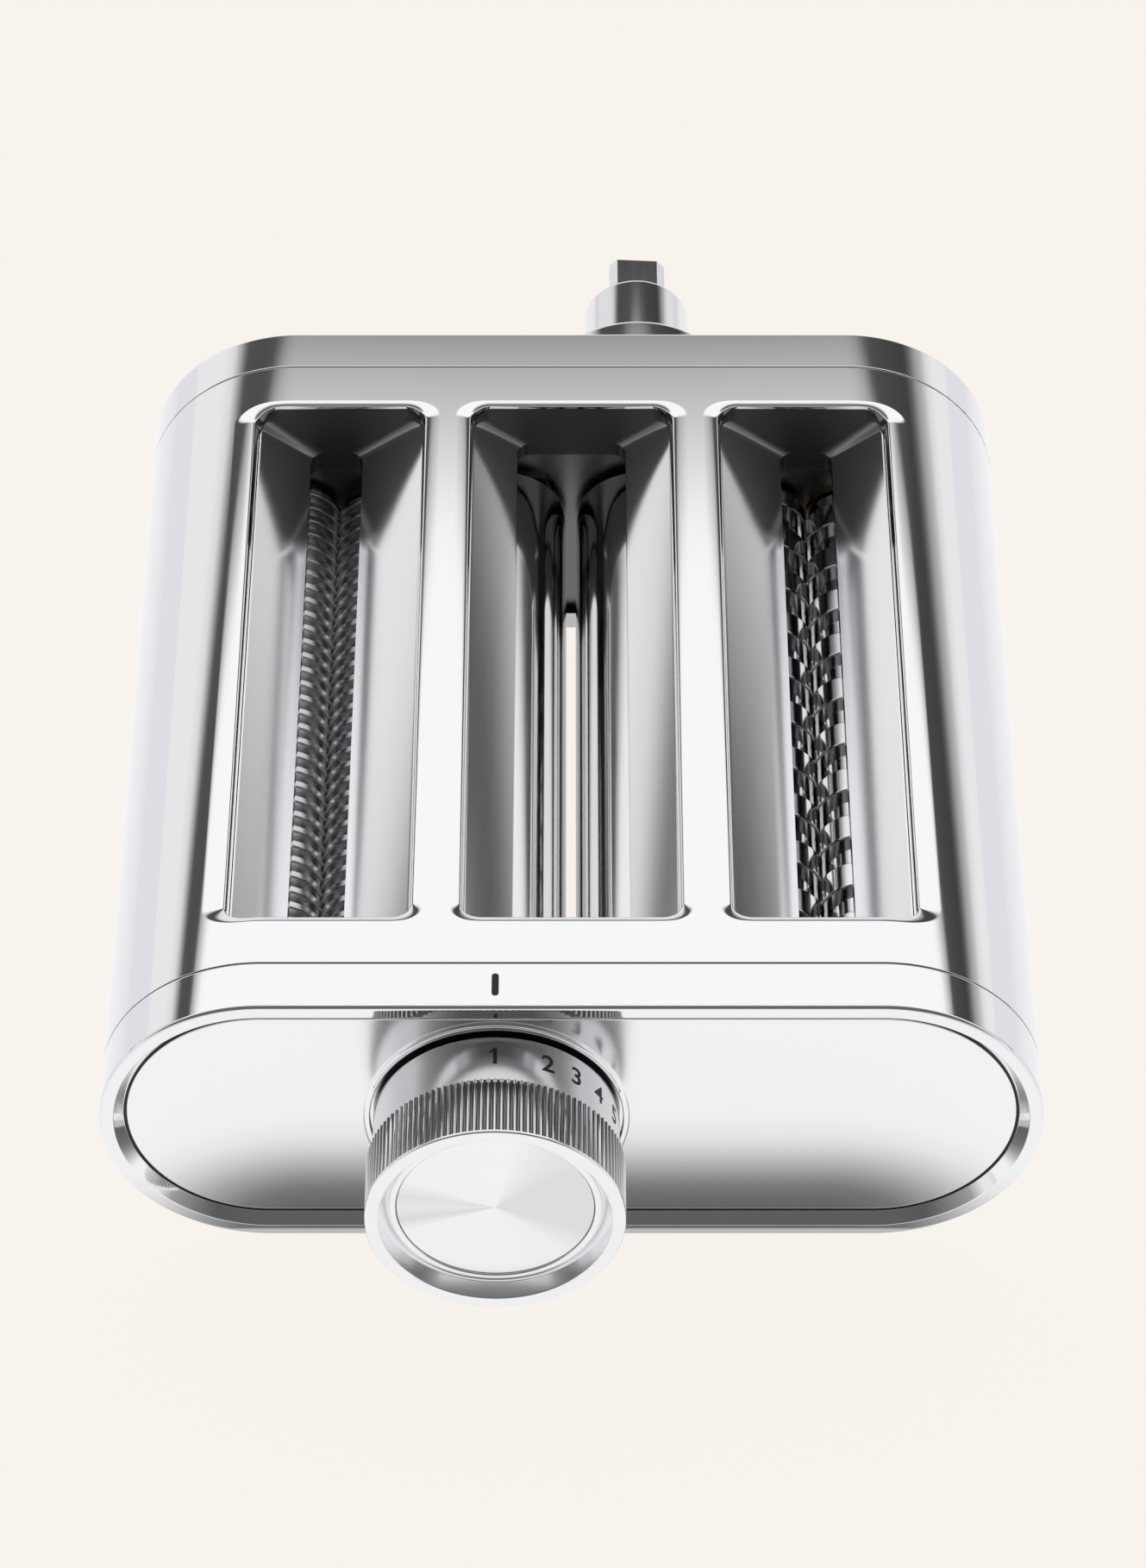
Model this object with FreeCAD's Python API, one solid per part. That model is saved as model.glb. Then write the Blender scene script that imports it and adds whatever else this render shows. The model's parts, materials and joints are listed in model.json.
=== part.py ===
import FreeCAD, Part
import math
import os
from collections import namedtuple

# Mixer-driven pasta roller and cutter: a stadium-section steel housing with three
# feed slots, a pair of plain rollers in the middle and a pair of ring cutters on
# each side. x runs across the housing, +y towards the drive, z up from the underside.

# Housing lengths along y
knob_reach = 27.3
front_cap_length = 13.0
sleeve_length = 193.6
back_cap_length = 12.4
boss_reach = 18.3
shank_length = 30.0
tang_length = 14.7

# Housing section
body_width = 198.4
body_height = 70.0
sleeve_wall = 2.0
cap_edge_radius = 0.8
cap_rim_width = 3.0
cap_taper_width = 2.1
cap_recess_depth = 2.3
cap_ledge_width = 3.4
spigot_wall = 1.6
spigot_length = 3.0
fascia_thickness = 2.0
fascia_groove = 0.3

# Feed slots, hoppers and exit slots
slot_end_inset = 13.9
side_land_width = 27.3
slot_bar_width = 11.7
sheet_slot_half = 22.6
cutter_centre_offset = 1.3
slot_corner_radius = 4.0
slot_rim_radius = 3.0
rim_depth = 5.5
rim_width = 4.5
rim_end_width = 2.0
hopper_wall = 1.5
throat_wall_ratio = 1.3
cutter_throat_width = 12.0
cutter_throat_drop = 8.9
cutter_lip_drop = 13.3
sheet_throat_width = 25.0
sheet_throat_drop = 4.5
sheet_lip_drop = 9.3
throat_edge_radius = 1.5
hopper_end_radius = 2.8
cutter_exit_width = 26.0
sheet_exit_width = 34.0

# Rollers and cutters
drive_x = 15.75
roller_radius = 14.8
roller_axle_radius = 6.0
gap_open = 2.15
gap_closed = 0.3
cutter_spacing = 18.4
cutter_radius = 10.0
cutter_mesh_depth = 1.6
cutter_root_clearance = 0.4
cutter_side_clearance = 0.25
cutter_axle_radius = 5.0
fine_pitch = 4.7
wide_pitch = 14.9

# Frame stations, measured in from the sleeve's front or back edge
front_plate_offset = 4.0
working_start_offset = 11.0
working_end_offset = 13.6
rear_plate_offset = 11.6
plate_thickness = 3.0
plate_clearance = 0.3
frame_rod_radius = 4.0
frame_rod_margin = 15.2
frame_rod_rise = 12.0
bush_wall = 2.5
bush_flange_width = 1.0
bush_flange_thickness = 1.0

# Sliding carriage of the adjustable roller
block_size = 20.0
block_front_reach = 1.4
block_flange_thickness = 2.5
block_flange_left = 36.0
block_flange_drop = 16.0
block_flange_rise = 12.0
tie_rod_radius = 2.0
tie_rod_x = -33.0
tie_rod_drop = 12.5

# Gear train
roller_gear_teeth = 14
roller_gear_addendum = 2.3
roller_gear_dedendum = 2.7
cutter_gear_teeth = 16
main_gear_teeth = 25
pinion_teeth = 14
idler_teeth = 21
pressure_angle = 20.0
tooth_backlash = 0.24
addendum_factor = 0.9
dedendum_factor = 1.2
pair_gear_gap = 0.8
pair_gear_width = 5.2
train_gear_gap = 2.2
train_gear_width = 5.0
idler_bore_radius = 4.0
idler_hub_radius = 6.5
stud_flange_radius = 7.0
stud_flange_thickness = 1.0
stud_head_radius = 5.4
stud_head_thickness = 0.9

# Drive
boss_radius = 24.3
shank_radius = 12.7
shank_seat_radius = 12.0
drive_shaft_radius = 8.0
tang_width = 13.5
tang_corner = 1.9
tang_turn = 3.0
tenon_width = 8.0
tenon_length = 8.0

# Dial
dial_turn_range = 121.0
knurl_length = 15.3
band_end_gap = 0.9
dial_margin = 7.0
knurl_inset = 0.95
band_inset = 1.15
dial_rim_width = 2.75
dial_dish_width = 2.3
dial_ring_width = 2.2
dial_dish_depth = 4.5
dial_disc_thickness = 1.2
dial_pocket_radius = 12.0
dial_web_thickness = 3.0
dial_wall = 2.2
dial_pull = 4.0
bezel_height = 0.9
bezel_hub_radius = 11.0
bezel_hub_length = 11.5
spindle_radius = 5.0
spindle_journal_radius = 8.0
spindle_collar_radius = 10.0
spindle_collar_thickness = 1.2
spindle_head_radius = 9.0
spindle_head_thickness = 2.0
eccentric_pin_radius = 2.5
yoke_clearance = 0.15
spring_wire_radius = 0.6
spring_turns = 3.0
spring_free_length = 6.0

# Clearances
seat_clearance = 0.02
running_clearance = 0.05
slide_clearance = 0.1
match_tolerance = 0.01

# Places worked out from the lengths
body_length = front_cap_length + sleeve_length + back_cap_length
overall_length = knob_reach + body_length + boss_reach + shank_length + tang_length
knob_front = -overall_length / 2
body_front = knob_front + knob_reach
sleeve_front = body_front + front_cap_length
sleeve_back = sleeve_front + sleeve_length
body_back = sleeve_back + back_cap_length
boss_back = body_back + boss_reach
shank_back = boss_back + shank_length
tang_back = shank_back + tang_length
axis_z = body_height / 2
slot_inner_wall = sheet_slot_half + slot_bar_width
slot_outer_wall = body_width / 2 - side_land_width
cutter_centre = (slot_inner_wall + slot_outer_wall) / 2 + cutter_centre_offset
dial_x = -drive_x
frame_rod_x = body_width / 2 - frame_rod_margin
bezel_radius = body_height / 2 - dial_margin
knurl_radius = bezel_radius - knurl_inset
band_radius = knurl_radius - band_inset
dial_dish_radius = knurl_radius - dial_rim_width
dial_ring_radius = dial_dish_radius - dial_dish_width
dial_disc_radius = dial_ring_radius - dial_ring_width
slot_front = sleeve_front + slot_end_inset
slot_back = sleeve_back - slot_end_inset
rim_low_z = body_height - rim_depth
front_plate_y = sleeve_front + front_plate_offset
rear_plate_y = sleeve_back - rear_plate_offset
working_start = sleeve_front + working_start_offset
working_end = sleeve_back - working_end_offset
rear_plate_back = rear_plate_y + plate_thickness
pair_gear_y = rear_plate_back + pair_gear_gap
train_gear_y = pair_gear_y + pair_gear_width + train_gear_gap
front_fascia_y = body_front + cap_recess_depth
back_fascia_y = body_back - cap_recess_depth - fascia_thickness
roller_travel = gap_open - gap_closed
adjustable_x = drive_x - 2 * roller_radius - gap_open
eccentricity = roller_travel / (2 * math.sin(math.radians(dial_turn_range / 2)))
axle_end_y = train_gear_y - stud_head_thickness - running_clearance - pair_gear_gap
block_front = front_plate_y - block_front_reach
block_flange_front = front_plate_y + plate_thickness + slide_clearance
bezel_front = front_fascia_y - bezel_height
knob_back = bezel_front - band_end_gap
cutter_inner_x = cutter_centre - cutter_spacing / 2
cutter_outer_x = cutter_centre + cutter_spacing / 2

Slot = namedtuple("Slot", "name left right centre throat throat_drop lip_drop exit_width")
SLOTS = (
    Slot("fine", -slot_outer_wall, -slot_inner_wall, -cutter_centre, cutter_throat_width,
         cutter_throat_drop, cutter_lip_drop, cutter_exit_width),
    Slot("sheet", -sheet_slot_half, sheet_slot_half, 0.0, sheet_throat_width,
         sheet_throat_drop, sheet_lip_drop, sheet_exit_width),
    Slot("wide", slot_inner_wall, slot_outer_wall, cutter_centre, cutter_throat_width,
         cutter_throat_drop, cutter_lip_drop, cutter_exit_width),
)

ALONG = FreeCAD.Vector(0, 1, 0)


def point(x, y, z):
    """A point of the part's frame."""
    return FreeCAD.Vector(x, y, z)


def rod(radius, start, end, x, z=axis_z):
    """A round bar along y from one station to another."""
    return Part.makeCylinder(radius, end - start, point(x, start, z), ALONG)


def tube(outer, inner, start, end, x, z=axis_z):
    """A round sleeve along y."""
    return rod(outer, start, end, x, z).cut(rod(inner, start, end, x, z))


def block(left, right, start, end, low, high):
    """A rectangular block between two corners."""
    return Part.makeBox(right - left, end - start, high - low, point(left, start, low))


def stadium_wire(inset, y):
    """The housing's section, set in by a wall, at one station."""
    radius = body_height / 2 - inset
    flat = (body_width - body_height) / 2
    low_right = point(flat, y, axis_z - radius)
    high_right = point(flat, y, axis_z + radius)
    high_left = point(-flat, y, axis_z + radius)
    low_left = point(-flat, y, axis_z - radius)
    right_end = Part.Arc(low_right, point(flat + radius, y, axis_z), high_right)
    left_end = Part.Arc(high_left, point(-flat - radius, y, axis_z), low_left)
    top = Part.LineSegment(high_right, high_left)
    bottom = Part.LineSegment(low_left, low_right)
    return Part.Wire([right_end.toShape(), top.toShape(), left_end.toShape(), bottom.toShape()])


def stadium(inset, start, end):
    """A stadium-section bar along y."""
    return Part.Face(stadium_wire(inset, start)).extrude(ALONG * (end - start))


def polygon_bar(outline, start, end):
    """A bar along y whose section is an outline of x and z pairs."""
    corners = [point(x, start, z) for x, z in outline]
    wire = Part.makePolygon(corners + corners[:1])
    return Part.Face(wire).extrude(ALONG * (end - start))


def turned(profile, x, z=axis_z):
    """A solid turned about an axis along y from an outline of radius and y pairs."""
    corners = [point(x + radius, y, z) for radius, y in profile]
    wire = Part.makePolygon(corners + corners[:1])
    return Part.Face(wire).revolve(point(x, 0, z), ALONG, 360)


def slot_block(left, right, front, back, radius, low, high):
    """An upright bar with a rectangular plan and rounded corners."""
    bar = block(left, right, front, back, low, high)
    upright = [edge for edge in bar.Edges if edge.BoundBox.ZLength > (high - low) / 2]
    return bar.makeFillet(radius, upright)


def rim_edges(shape, left, right, above):
    """The outer edges of a slot cut between two walls, above or below the axis."""
    found = []
    for edge in shape.Edges:
        box = edge.BoundBox
        inside = left - match_tolerance < box.XMin and box.XMax < right + match_tolerance
        along = slot_front - match_tolerance < box.YMin and box.YMax < slot_back + match_tolerance
        low = rim_low_z - axis_z + match_tolerance
        outer = box.ZMin - axis_z > low if above else axis_z - box.ZMax > low
        if inside and along and outer and edge.Length > slot_corner_radius / 2:
            found.append(edge)
    return found


def exit_sides(slot):
    """The walls of the exit slot under a feed slot."""
    return slot.centre - slot.exit_width / 2, slot.centre + slot.exit_width / 2


def outer_sleeve():
    """The sheet steel sleeve with its rolled feed slots and exit slots."""
    hollow = stadium(sleeve_wall, sleeve_front, sleeve_back)
    for slot in SLOTS:
        openings = ((slot.left, slot.right, rim_low_z, body_height),
                    exit_sides(slot) + (0.0, rim_depth))
        for left, right, low, high in openings:
            rim = slot_block(left - rim_width, right + rim_width, slot_front - rim_end_width,
                             slot_back + rim_end_width, slot_corner_radius, low, high)
            hollow = hollow.cut(rim)
    sleeve = stadium(0.0, sleeve_front, sleeve_back).cut(hollow)
    for slot in SLOTS:
        left, right = exit_sides(slot)
        sleeve = sleeve.cut(slot_block(slot.left, slot.right, slot_front, slot_back,
                                       slot_corner_radius, axis_z, body_height))
        sleeve = sleeve.cut(slot_block(left, right, slot_front, slot_back,
                                       slot_corner_radius, 0.0, axis_z))
    for slot in SLOTS:
        left, right = exit_sides(slot)
        sleeve = sleeve.makeFillet(slot_rim_radius, rim_edges(sleeve, slot.left, slot.right, True))
        sleeve = sleeve.makeFillet(slot_rim_radius, rim_edges(sleeve, left, right, False))
    return sleeve


def cap(outer_y, inner_y):
    """An end cap: a ring with a tapered rim, a ledge for its fascia and a spigot."""
    inward = 1 if inner_y > outer_y else -1
    floor_inset = cap_rim_width + cap_taper_width
    recess_y = outer_y + inward * cap_recess_depth
    seat_y = recess_y + inward * fascia_thickness
    spigot_y = inner_y + inward * spigot_length
    spigot_inset = sleeve_wall + seat_clearance
    ring = stadium(0.0, outer_y, inner_y)
    outer_edges = [edge for edge in ring.Edges if abs(edge.BoundBox.YMin - outer_y) < match_tolerance
                   and abs(edge.BoundBox.YMax - outer_y) < match_tolerance]
    ring = ring.makeFillet(cap_edge_radius, outer_edges)
    ring = ring.fuse(stadium(spigot_inset, inner_y, spigot_y))
    ring = ring.cut(stadium(spigot_inset + spigot_wall, seat_y + inward * cap_ledge_width, spigot_y))
    ring = ring.cut(stadium(floor_inset + cap_ledge_width, seat_y, spigot_y))
    ring = ring.cut(stadium(floor_inset, recess_y, seat_y))
    taper = Part.makeLoft([stadium_wire(cap_rim_width, outer_y),
                           stadium_wire(floor_inset, recess_y)], True)
    return ring.cut(taper).removeSplitter()


def fascia(start, hole_x, hole_radius):
    """A flat end plate in its cap, with one round hole."""
    inset = cap_rim_width + cap_taper_width + fascia_groove
    end = start + fascia_thickness
    return stadium(inset, start, end).cut(rod(hole_radius, start, end, hole_x))


def hopper(slot):
    """A feed funnel: two ramps, two upright ends and a throat with straight lips."""
    throat_left = slot.centre - slot.throat / 2
    throat_right = slot.centre + slot.throat / 2
    throat_z = rim_low_z - slot.throat_drop
    lip_z = rim_low_z - slot.lip_drop
    inner = ((slot.left, rim_low_z), (throat_left, throat_z), (throat_left, lip_z),
             (throat_right, lip_z), (throat_right, throat_z), (slot.right, rim_low_z))
    drop = hopper_wall * throat_wall_ratio
    outer = ((slot.left - hopper_wall, rim_low_z), (slot.left - hopper_wall, rim_low_z - hopper_wall),
             (throat_left - hopper_wall, throat_z - drop), (throat_left - hopper_wall, lip_z),
             (throat_right + hopper_wall, lip_z), (throat_right + hopper_wall, throat_z - drop),
             (slot.right + hopper_wall, rim_low_z - hopper_wall), (slot.right + hopper_wall, rim_low_z))
    cavity = polygon_bar(inner, slot_front, slot_back)
    bends = [edge for edge in cavity.Edges if edge.BoundBox.YLength > body_height
             and abs(edge.BoundBox.ZMin - throat_z) < match_tolerance]
    cavity = cavity.makeFillet(throat_edge_radius, bends)
    ends = [edge for edge in cavity.Edges if edge.BoundBox.YLength < match_tolerance
            and edge.BoundBox.ZLength > match_tolerance]
    cavity = cavity.makeFillet(hopper_end_radius, ends)
    shell = polygon_bar(outer, slot_front - hopper_wall, slot_back + hopper_wall)
    return shell.cut(cavity)


def roller_places():
    """The fixed shafts that turn in bushes: x, axle radius."""
    shafts = [(drive_x, roller_axle_radius)]
    for side in (-1, 1):
        shafts.append((side * cutter_inner_x, cutter_axle_radius))
        shafts.append((side * cutter_outer_x, cutter_axle_radius))
    return shafts


def rod_places():
    """The frame rods' axes: x, z."""
    rises = (-frame_rod_rise, frame_rod_rise)
    return [(side * frame_rod_x, axis_z + rise) for side in (-1, 1) for rise in rises]


def frame_plate(start):
    """A bulkhead that carries the shafts, with a window for the sliding block."""
    end = start + plate_thickness
    plate = stadium(sleeve_wall + plate_clearance, start, end)
    for x, axle in roller_places():
        plate = plate.cut(rod(axle + running_clearance + bush_wall + seat_clearance, start, end, x))
    left = adjustable_x - block_size / 2 - slide_clearance
    right = adjustable_x + block_size / 2 + roller_travel + slide_clearance
    half = block_size / 2 + slide_clearance
    return plate.cut(block(left, right, start, end, axis_z - half, axis_z + half))


def frame_rods():
    """The four spacers that hold the frame plates apart."""
    start = front_plate_y + plate_thickness
    return Part.makeCompound([rod(frame_rod_radius, start, rear_plate_y, x, z) for x, z in rod_places()])


def bush(x, axle, start, inward):
    """A flanged bush pressed into a frame plate, its flange on the rollers' side."""
    end = start + plate_thickness
    bore = axle + running_clearance
    outer = bore + bush_wall
    face = end if inward > 0 else start
    ring = tube(outer, bore, start, end, x)
    tip = face + inward * bush_flange_thickness
    flange = tube(outer + bush_flange_width, bore, min(face, tip), max(face, tip), x)
    return ring.fuse(flange).removeSplitter()


def bushes(places):
    """The bushes of some shafts, at the front and the rear plate."""
    front = [bush(x, axle, front_plate_y, 1) for x, axle in places]
    rear = [bush(x, axle, rear_plate_y, -1) for x, axle in places]
    return Part.makeCompound(front + rear)


def drive_roller():
    """The driven sheet roller with its axle and a square tenon for the drive shaft."""
    end = train_gear_y + train_gear_width
    roller = rod(roller_radius, working_start, working_end, drive_x)
    axle = rod(roller_axle_radius, front_plate_y, end, drive_x)
    half = tenon_width / 2
    tenon = block(drive_x - half, drive_x + half, end, end + tenon_length, axis_z - half, axis_z + half)
    return roller.fuse(axle).fuse(tenon).removeSplitter()


def adjustable_roller():
    """The sheet roller whose bearings slide towards the driven one."""
    start = block_flange_front + running_clearance
    roller = rod(roller_radius, working_start, working_end, adjustable_x)
    axle = rod(roller_axle_radius, start, axle_end_y, adjustable_x)
    return roller.fuse(axle).removeSplitter()


def drive_shaft():
    """The shaft inside the hub shank, with a chamfered square tang."""
    start = train_gear_y + train_gear_width + slide_clearance
    shaft = rod(drive_shaft_radius, start, shank_back, drive_x)
    half = tenon_width / 2 + seat_clearance
    socket_end = start + tenon_length
    socket = block(drive_x - half, drive_x + half, start, socket_end, axis_z - half, axis_z + half)
    side = tang_width / 2
    cut = side - tang_corner
    outline = ((side, -cut), (side, cut), (cut, side), (-cut, side),
               (-side, cut), (-side, -cut), (-cut, -side), (cut, -side))
    tang = polygon_bar([(drive_x + x, axis_z + z) for x, z in outline], shank_back, tang_back)
    tang.rotate(point(drive_x, 0, axis_z), ALONG, tang_turn)
    return shaft.cut(socket).fuse(tang).removeSplitter()


def hub_shank():
    """The stationary cylinder that enters the mixer's hub, seated in the flange."""
    seat = rod(shank_seat_radius, back_fascia_y, boss_back, drive_x)
    nose = rod(shank_radius, boss_back, shank_back, drive_x)
    bore = rod(drive_shaft_radius + running_clearance, back_fascia_y, shank_back, drive_x)
    return seat.fuse(nose).cut(bore).removeSplitter()


def hub_flange():
    """The round boss between the back fascia and the shank."""
    start = back_fascia_y + fascia_thickness
    return tube(boss_radius, shank_seat_radius + seat_clearance, start, boss_back, drive_x)


def cutter(x, pitch, shifted, end):
    """A ring cutter: lands and grooves in step with the facing shaft's."""
    groove = cutter_radius - cutter_mesh_depth - cutter_root_clearance
    land = pitch / 2 - cutter_side_clearance
    profile = [(0.0, front_plate_y), (cutter_axle_radius, front_plate_y),
               (cutter_axle_radius, working_start), (groove, working_start)]
    place = working_start + (pitch / 2 if shifted else 0.0) + cutter_side_clearance
    while place + land < working_end:
        profile += [(groove, place), (cutter_radius, place)]
        profile += [(cutter_radius, place + land), (groove, place + land)]
        place += pitch
    profile += [(groove, working_end), (cutter_axle_radius, working_end),
                (cutter_axle_radius, end), (0.0, end)]
    return turned(profile, x)


def involute(angle):
    """The involute function of a pressure angle."""
    return math.tan(angle) - angle


class Gear:
    """A spur gear: teeth, pitch radius, depth of its teeth and the angle of one tooth."""

    def __init__(self, teeth, radius, addendum, dedendum, x, z=axis_z, tooth=0.0):
        self.teeth = teeth
        self.radius = radius
        self.addendum = addendum
        self.dedendum = dedendum
        self.x = x
        self.z = z
        self.tooth = tooth

    def meshing(self, teeth, radius, addendum, dedendum, x, z=axis_z):
        """A second gear whose teeth stand in this one's spaces."""
        line = math.atan2(z - self.z, x - self.x)
        past_tooth = (line - self.tooth) * self.teeth / (2 * math.pi)
        tooth = line + math.pi - (0.5 - past_tooth) * 2 * math.pi / teeth
        return Gear(teeth, radius, addendum, dedendum, x, z, tooth)

    def half_tooth(self, radius):
        """Half the angle that a tooth fills at a radius."""
        base = self.radius * math.cos(math.radians(pressure_angle))
        at_pitch = math.pi / (2 * self.teeth) - tooth_backlash / (4 * self.radius)
        local = math.acos(min(1.0, base / radius))
        return at_pitch + involute(math.radians(pressure_angle)) - involute(local)

    def at(self, radius, angle, y):
        """A point of the gear's outline."""
        return point(self.x + radius * math.cos(angle), y, self.z + radius * math.sin(angle))

    def solid(self, start, width, bore):
        """The gear between two stations, bored for its shaft."""
        outer = self.radius + self.addendum
        root = self.radius - self.dedendum
        base = max(root, self.radius * math.cos(math.radians(pressure_angle)))
        step = 2 * math.pi / self.teeth
        edges = []
        for index in range(self.teeth):
            centre = self.tooth + index * step
            foot = self.half_tooth(base)
            tip = self.half_tooth(outer)
            radii = (base, (base + self.radius) / 2, self.radius, outer)
            rising = [self.at(r, centre - self.half_tooth(r), start) for r in radii]
            falling = [self.at(r, centre + self.half_tooth(r), start) for r in reversed(radii)]
            root_in = self.at(root, centre - foot, start)
            root_out = self.at(root, centre + foot, start)
            for low, flank in ((root_in, rising), (None, falling)):
                curve = Part.BSplineCurve()
                curve.interpolate(flank)
                if low is not None and root < base:
                    edges.append(Part.LineSegment(low, flank[0]).toShape())
                edges.append(curve.toShape())
                if low is not None:
                    top = Part.Arc(flank[-1], self.at(outer, centre, start), falling[0])
                    edges.append(top.toShape())
            if root < base:
                edges.append(Part.LineSegment(falling[-1], root_out).toShape())
            valley = self.at(root, centre + step / 2, start)
            following = self.at(root, centre + step - foot, start)
            edges.append(Part.Arc(root_out, valley, following).toShape())
        blank = Part.Face(Part.Wire(edges)).extrude(ALONG * width)
        return blank.cut(rod(bore, start, start + width, self.x, self.z))


def standard_gear(teeth, module, x, z=axis_z):
    """A gear with teeth of ordinary depth, one tooth along +x."""
    return Gear(teeth, teeth * module / 2, addendum_factor * module, dedendum_factor * module, x, z)


def meshed(gear, teeth, module, x, z=axis_z):
    """A gear of ordinary depth in mesh with another."""
    return gear.meshing(teeth, teeth * module / 2, addendum_factor * module, dedendum_factor * module, x, z)


def idler_place(module):
    """The idler's centre, in reach of the main gear and the fine pinion."""
    to_main = module * (main_gear_teeth + idler_teeth) / 2
    to_pinion = module * (idler_teeth + pinion_teeth) / 2
    span = drive_x + cutter_inner_x
    foot = (to_main ** 2 - to_pinion ** 2 + span ** 2) / (2 * span)
    return drive_x - foot, axis_z + math.sqrt(to_main ** 2 - foot ** 2)


def gears():
    """The gear train, all in mesh: the sheet rollers' pair, the train and the cutters' pairs."""
    made = {}
    closed = 2 * roller_radius + gap_closed
    depth = (roller_gear_addendum, roller_gear_dedendum)
    driven = Gear(roller_gear_teeth, closed / 2, *depth, drive_x)
    follower = driven.meshing(roller_gear_teeth, closed / 2, *depth, adjustable_x)
    axle_bore = roller_axle_radius + seat_clearance
    made["drive_roller_gear"] = driven.solid(pair_gear_y, pair_gear_width, axle_bore)
    made["adjustable_roller_gear"] = follower.solid(pair_gear_y, pair_gear_width, axle_bore)
    train_module = 2 * (cutter_inner_x - drive_x) / (main_gear_teeth + pinion_teeth)
    idler_x, idler_z = idler_place(train_module)
    main = standard_gear(main_gear_teeth, train_module, drive_x)
    wide_pinion = meshed(main, pinion_teeth, train_module, cutter_inner_x)
    idler = meshed(main, idler_teeth, train_module, idler_x, idler_z)
    fine_pinion = meshed(idler, pinion_teeth, train_module, -cutter_inner_x)
    cutter_bore = cutter_axle_radius + seat_clearance
    made["main_drive_gear"] = main.solid(train_gear_y, train_gear_width, axle_bore)
    made["wide_pinion"] = wide_pinion.solid(train_gear_y, train_gear_width, cutter_bore)
    made["fine_pinion"] = fine_pinion.solid(train_gear_y, train_gear_width, cutter_bore)
    made["idler_gear"] = idler_gear(idler, idler_x, idler_z)
    made["idler_stud"] = idler_stud(idler_x, idler_z)
    pair_module = cutter_spacing / cutter_gear_teeth
    for name, side in (("fine", -1), ("wide", 1)):
        inner = standard_gear(cutter_gear_teeth, pair_module, side * cutter_inner_x)
        outer = meshed(inner, cutter_gear_teeth, pair_module, side * cutter_outer_x)
        made[name + "_inner_gear"] = inner.solid(pair_gear_y, pair_gear_width, cutter_bore)
        made[name + "_outer_gear"] = outer.solid(pair_gear_y, pair_gear_width, cutter_bore)
    return made


def idler_gear(gear, x, z):
    """The idler with its hub, running on the stud."""
    bore = idler_bore_radius + running_clearance
    hub_end = back_fascia_y - stud_flange_thickness - slide_clearance
    wheel = gear.solid(train_gear_y, train_gear_width, bore)
    hub = tube(idler_hub_radius, bore, train_gear_y + train_gear_width, hub_end, x, z)
    return wheel.fuse(hub).removeSplitter()


def idler_stud(x, z):
    """The headed stud on the back fascia that the idler turns on."""
    head_end = train_gear_y - slide_clearance
    flange_start = back_fascia_y - stud_flange_thickness
    stem = rod(idler_bore_radius, head_end, flange_start, x, z)
    head = rod(stud_head_radius, head_end - stud_head_thickness, head_end, x, z)
    flange = rod(stud_flange_radius, flange_start, back_fascia_y, x, z)
    return stem.fuse(head).fuse(flange).removeSplitter()


def block_flange(start, end):
    """The plate of a bearing block that laps the frame plate and holds the tie rod."""
    right = adjustable_x + block_size / 2 + slide_clearance
    low = axis_z - block_flange_drop
    return block(-block_flange_left, right, start, end, low, axis_z + block_flange_rise)


def front_bearing_block():
    """The sliding bearing with a yoke slot for the dial's eccentric pin."""
    half = block_size / 2
    flange_end = block_flange_front + block_flange_thickness
    body = block(adjustable_x - half, adjustable_x + half, block_front, block_flange_front,
                 axis_z - half, axis_z + half)
    body = body.fuse(block_flange(block_flange_front, flange_end))
    slot_half = eccentric_pin_radius + yoke_clearance
    slot_rise = eccentricity + slot_half
    slot_x = dial_x - roller_travel / 2
    slot_end = front_plate_y + plate_thickness / 2
    yoke = block(slot_x - slot_half, slot_x + slot_half, block_front, slot_end,
                 axis_z - slot_rise, axis_z + slot_rise)
    bore = rod(roller_axle_radius + running_clearance, block_flange_front, flange_end, adjustable_x)
    return body.cut(yoke).cut(bore).cut(tie_rod(seat_clearance)).removeSplitter()


def rear_bearing_block():
    """The sliding bearing at the geared end."""
    half = block_size / 2
    flange_end = rear_plate_y - slide_clearance
    body = block(adjustable_x - half, adjustable_x + half, flange_end, rear_plate_back,
                 axis_z - half, axis_z + half)
    body = body.fuse(block_flange(flange_end - bush_flange_thickness, flange_end))
    bore = rod(roller_axle_radius + running_clearance, flange_end - bush_flange_thickness,
               rear_plate_back, adjustable_x)
    return body.cut(bore).cut(tie_rod(seat_clearance)).removeSplitter()


def tie_rod(margin=0.0):
    """The rod that joins the two bearing blocks."""
    rear = rear_plate_y - slide_clearance
    return rod(tie_rod_radius + margin, block_flange_front, rear, tie_rod_x, axis_z - tie_rod_drop)


def dial_bezel():
    """The fixed ring round the dial, with the bearing tube for its spindle."""
    hub_end = bezel_front + bezel_hub_length
    ring = rod(bezel_radius, bezel_front, front_fascia_y, dial_x)
    hub = rod(bezel_hub_radius, front_fascia_y, hub_end, dial_x)
    bore = rod(spindle_journal_radius + running_clearance, bezel_front, hub_end, dial_x)
    return ring.fuse(hub).cut(bore).removeSplitter()


def dial_places():
    """Stations inside the knob: disc seat, pocket floor and the spindle head's rear face."""
    disc_seat = knob_front + dial_dish_depth + dial_disc_thickness
    web = knob_front + knurl_length + dial_pull
    return disc_seat, web, web - spring_free_length


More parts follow.
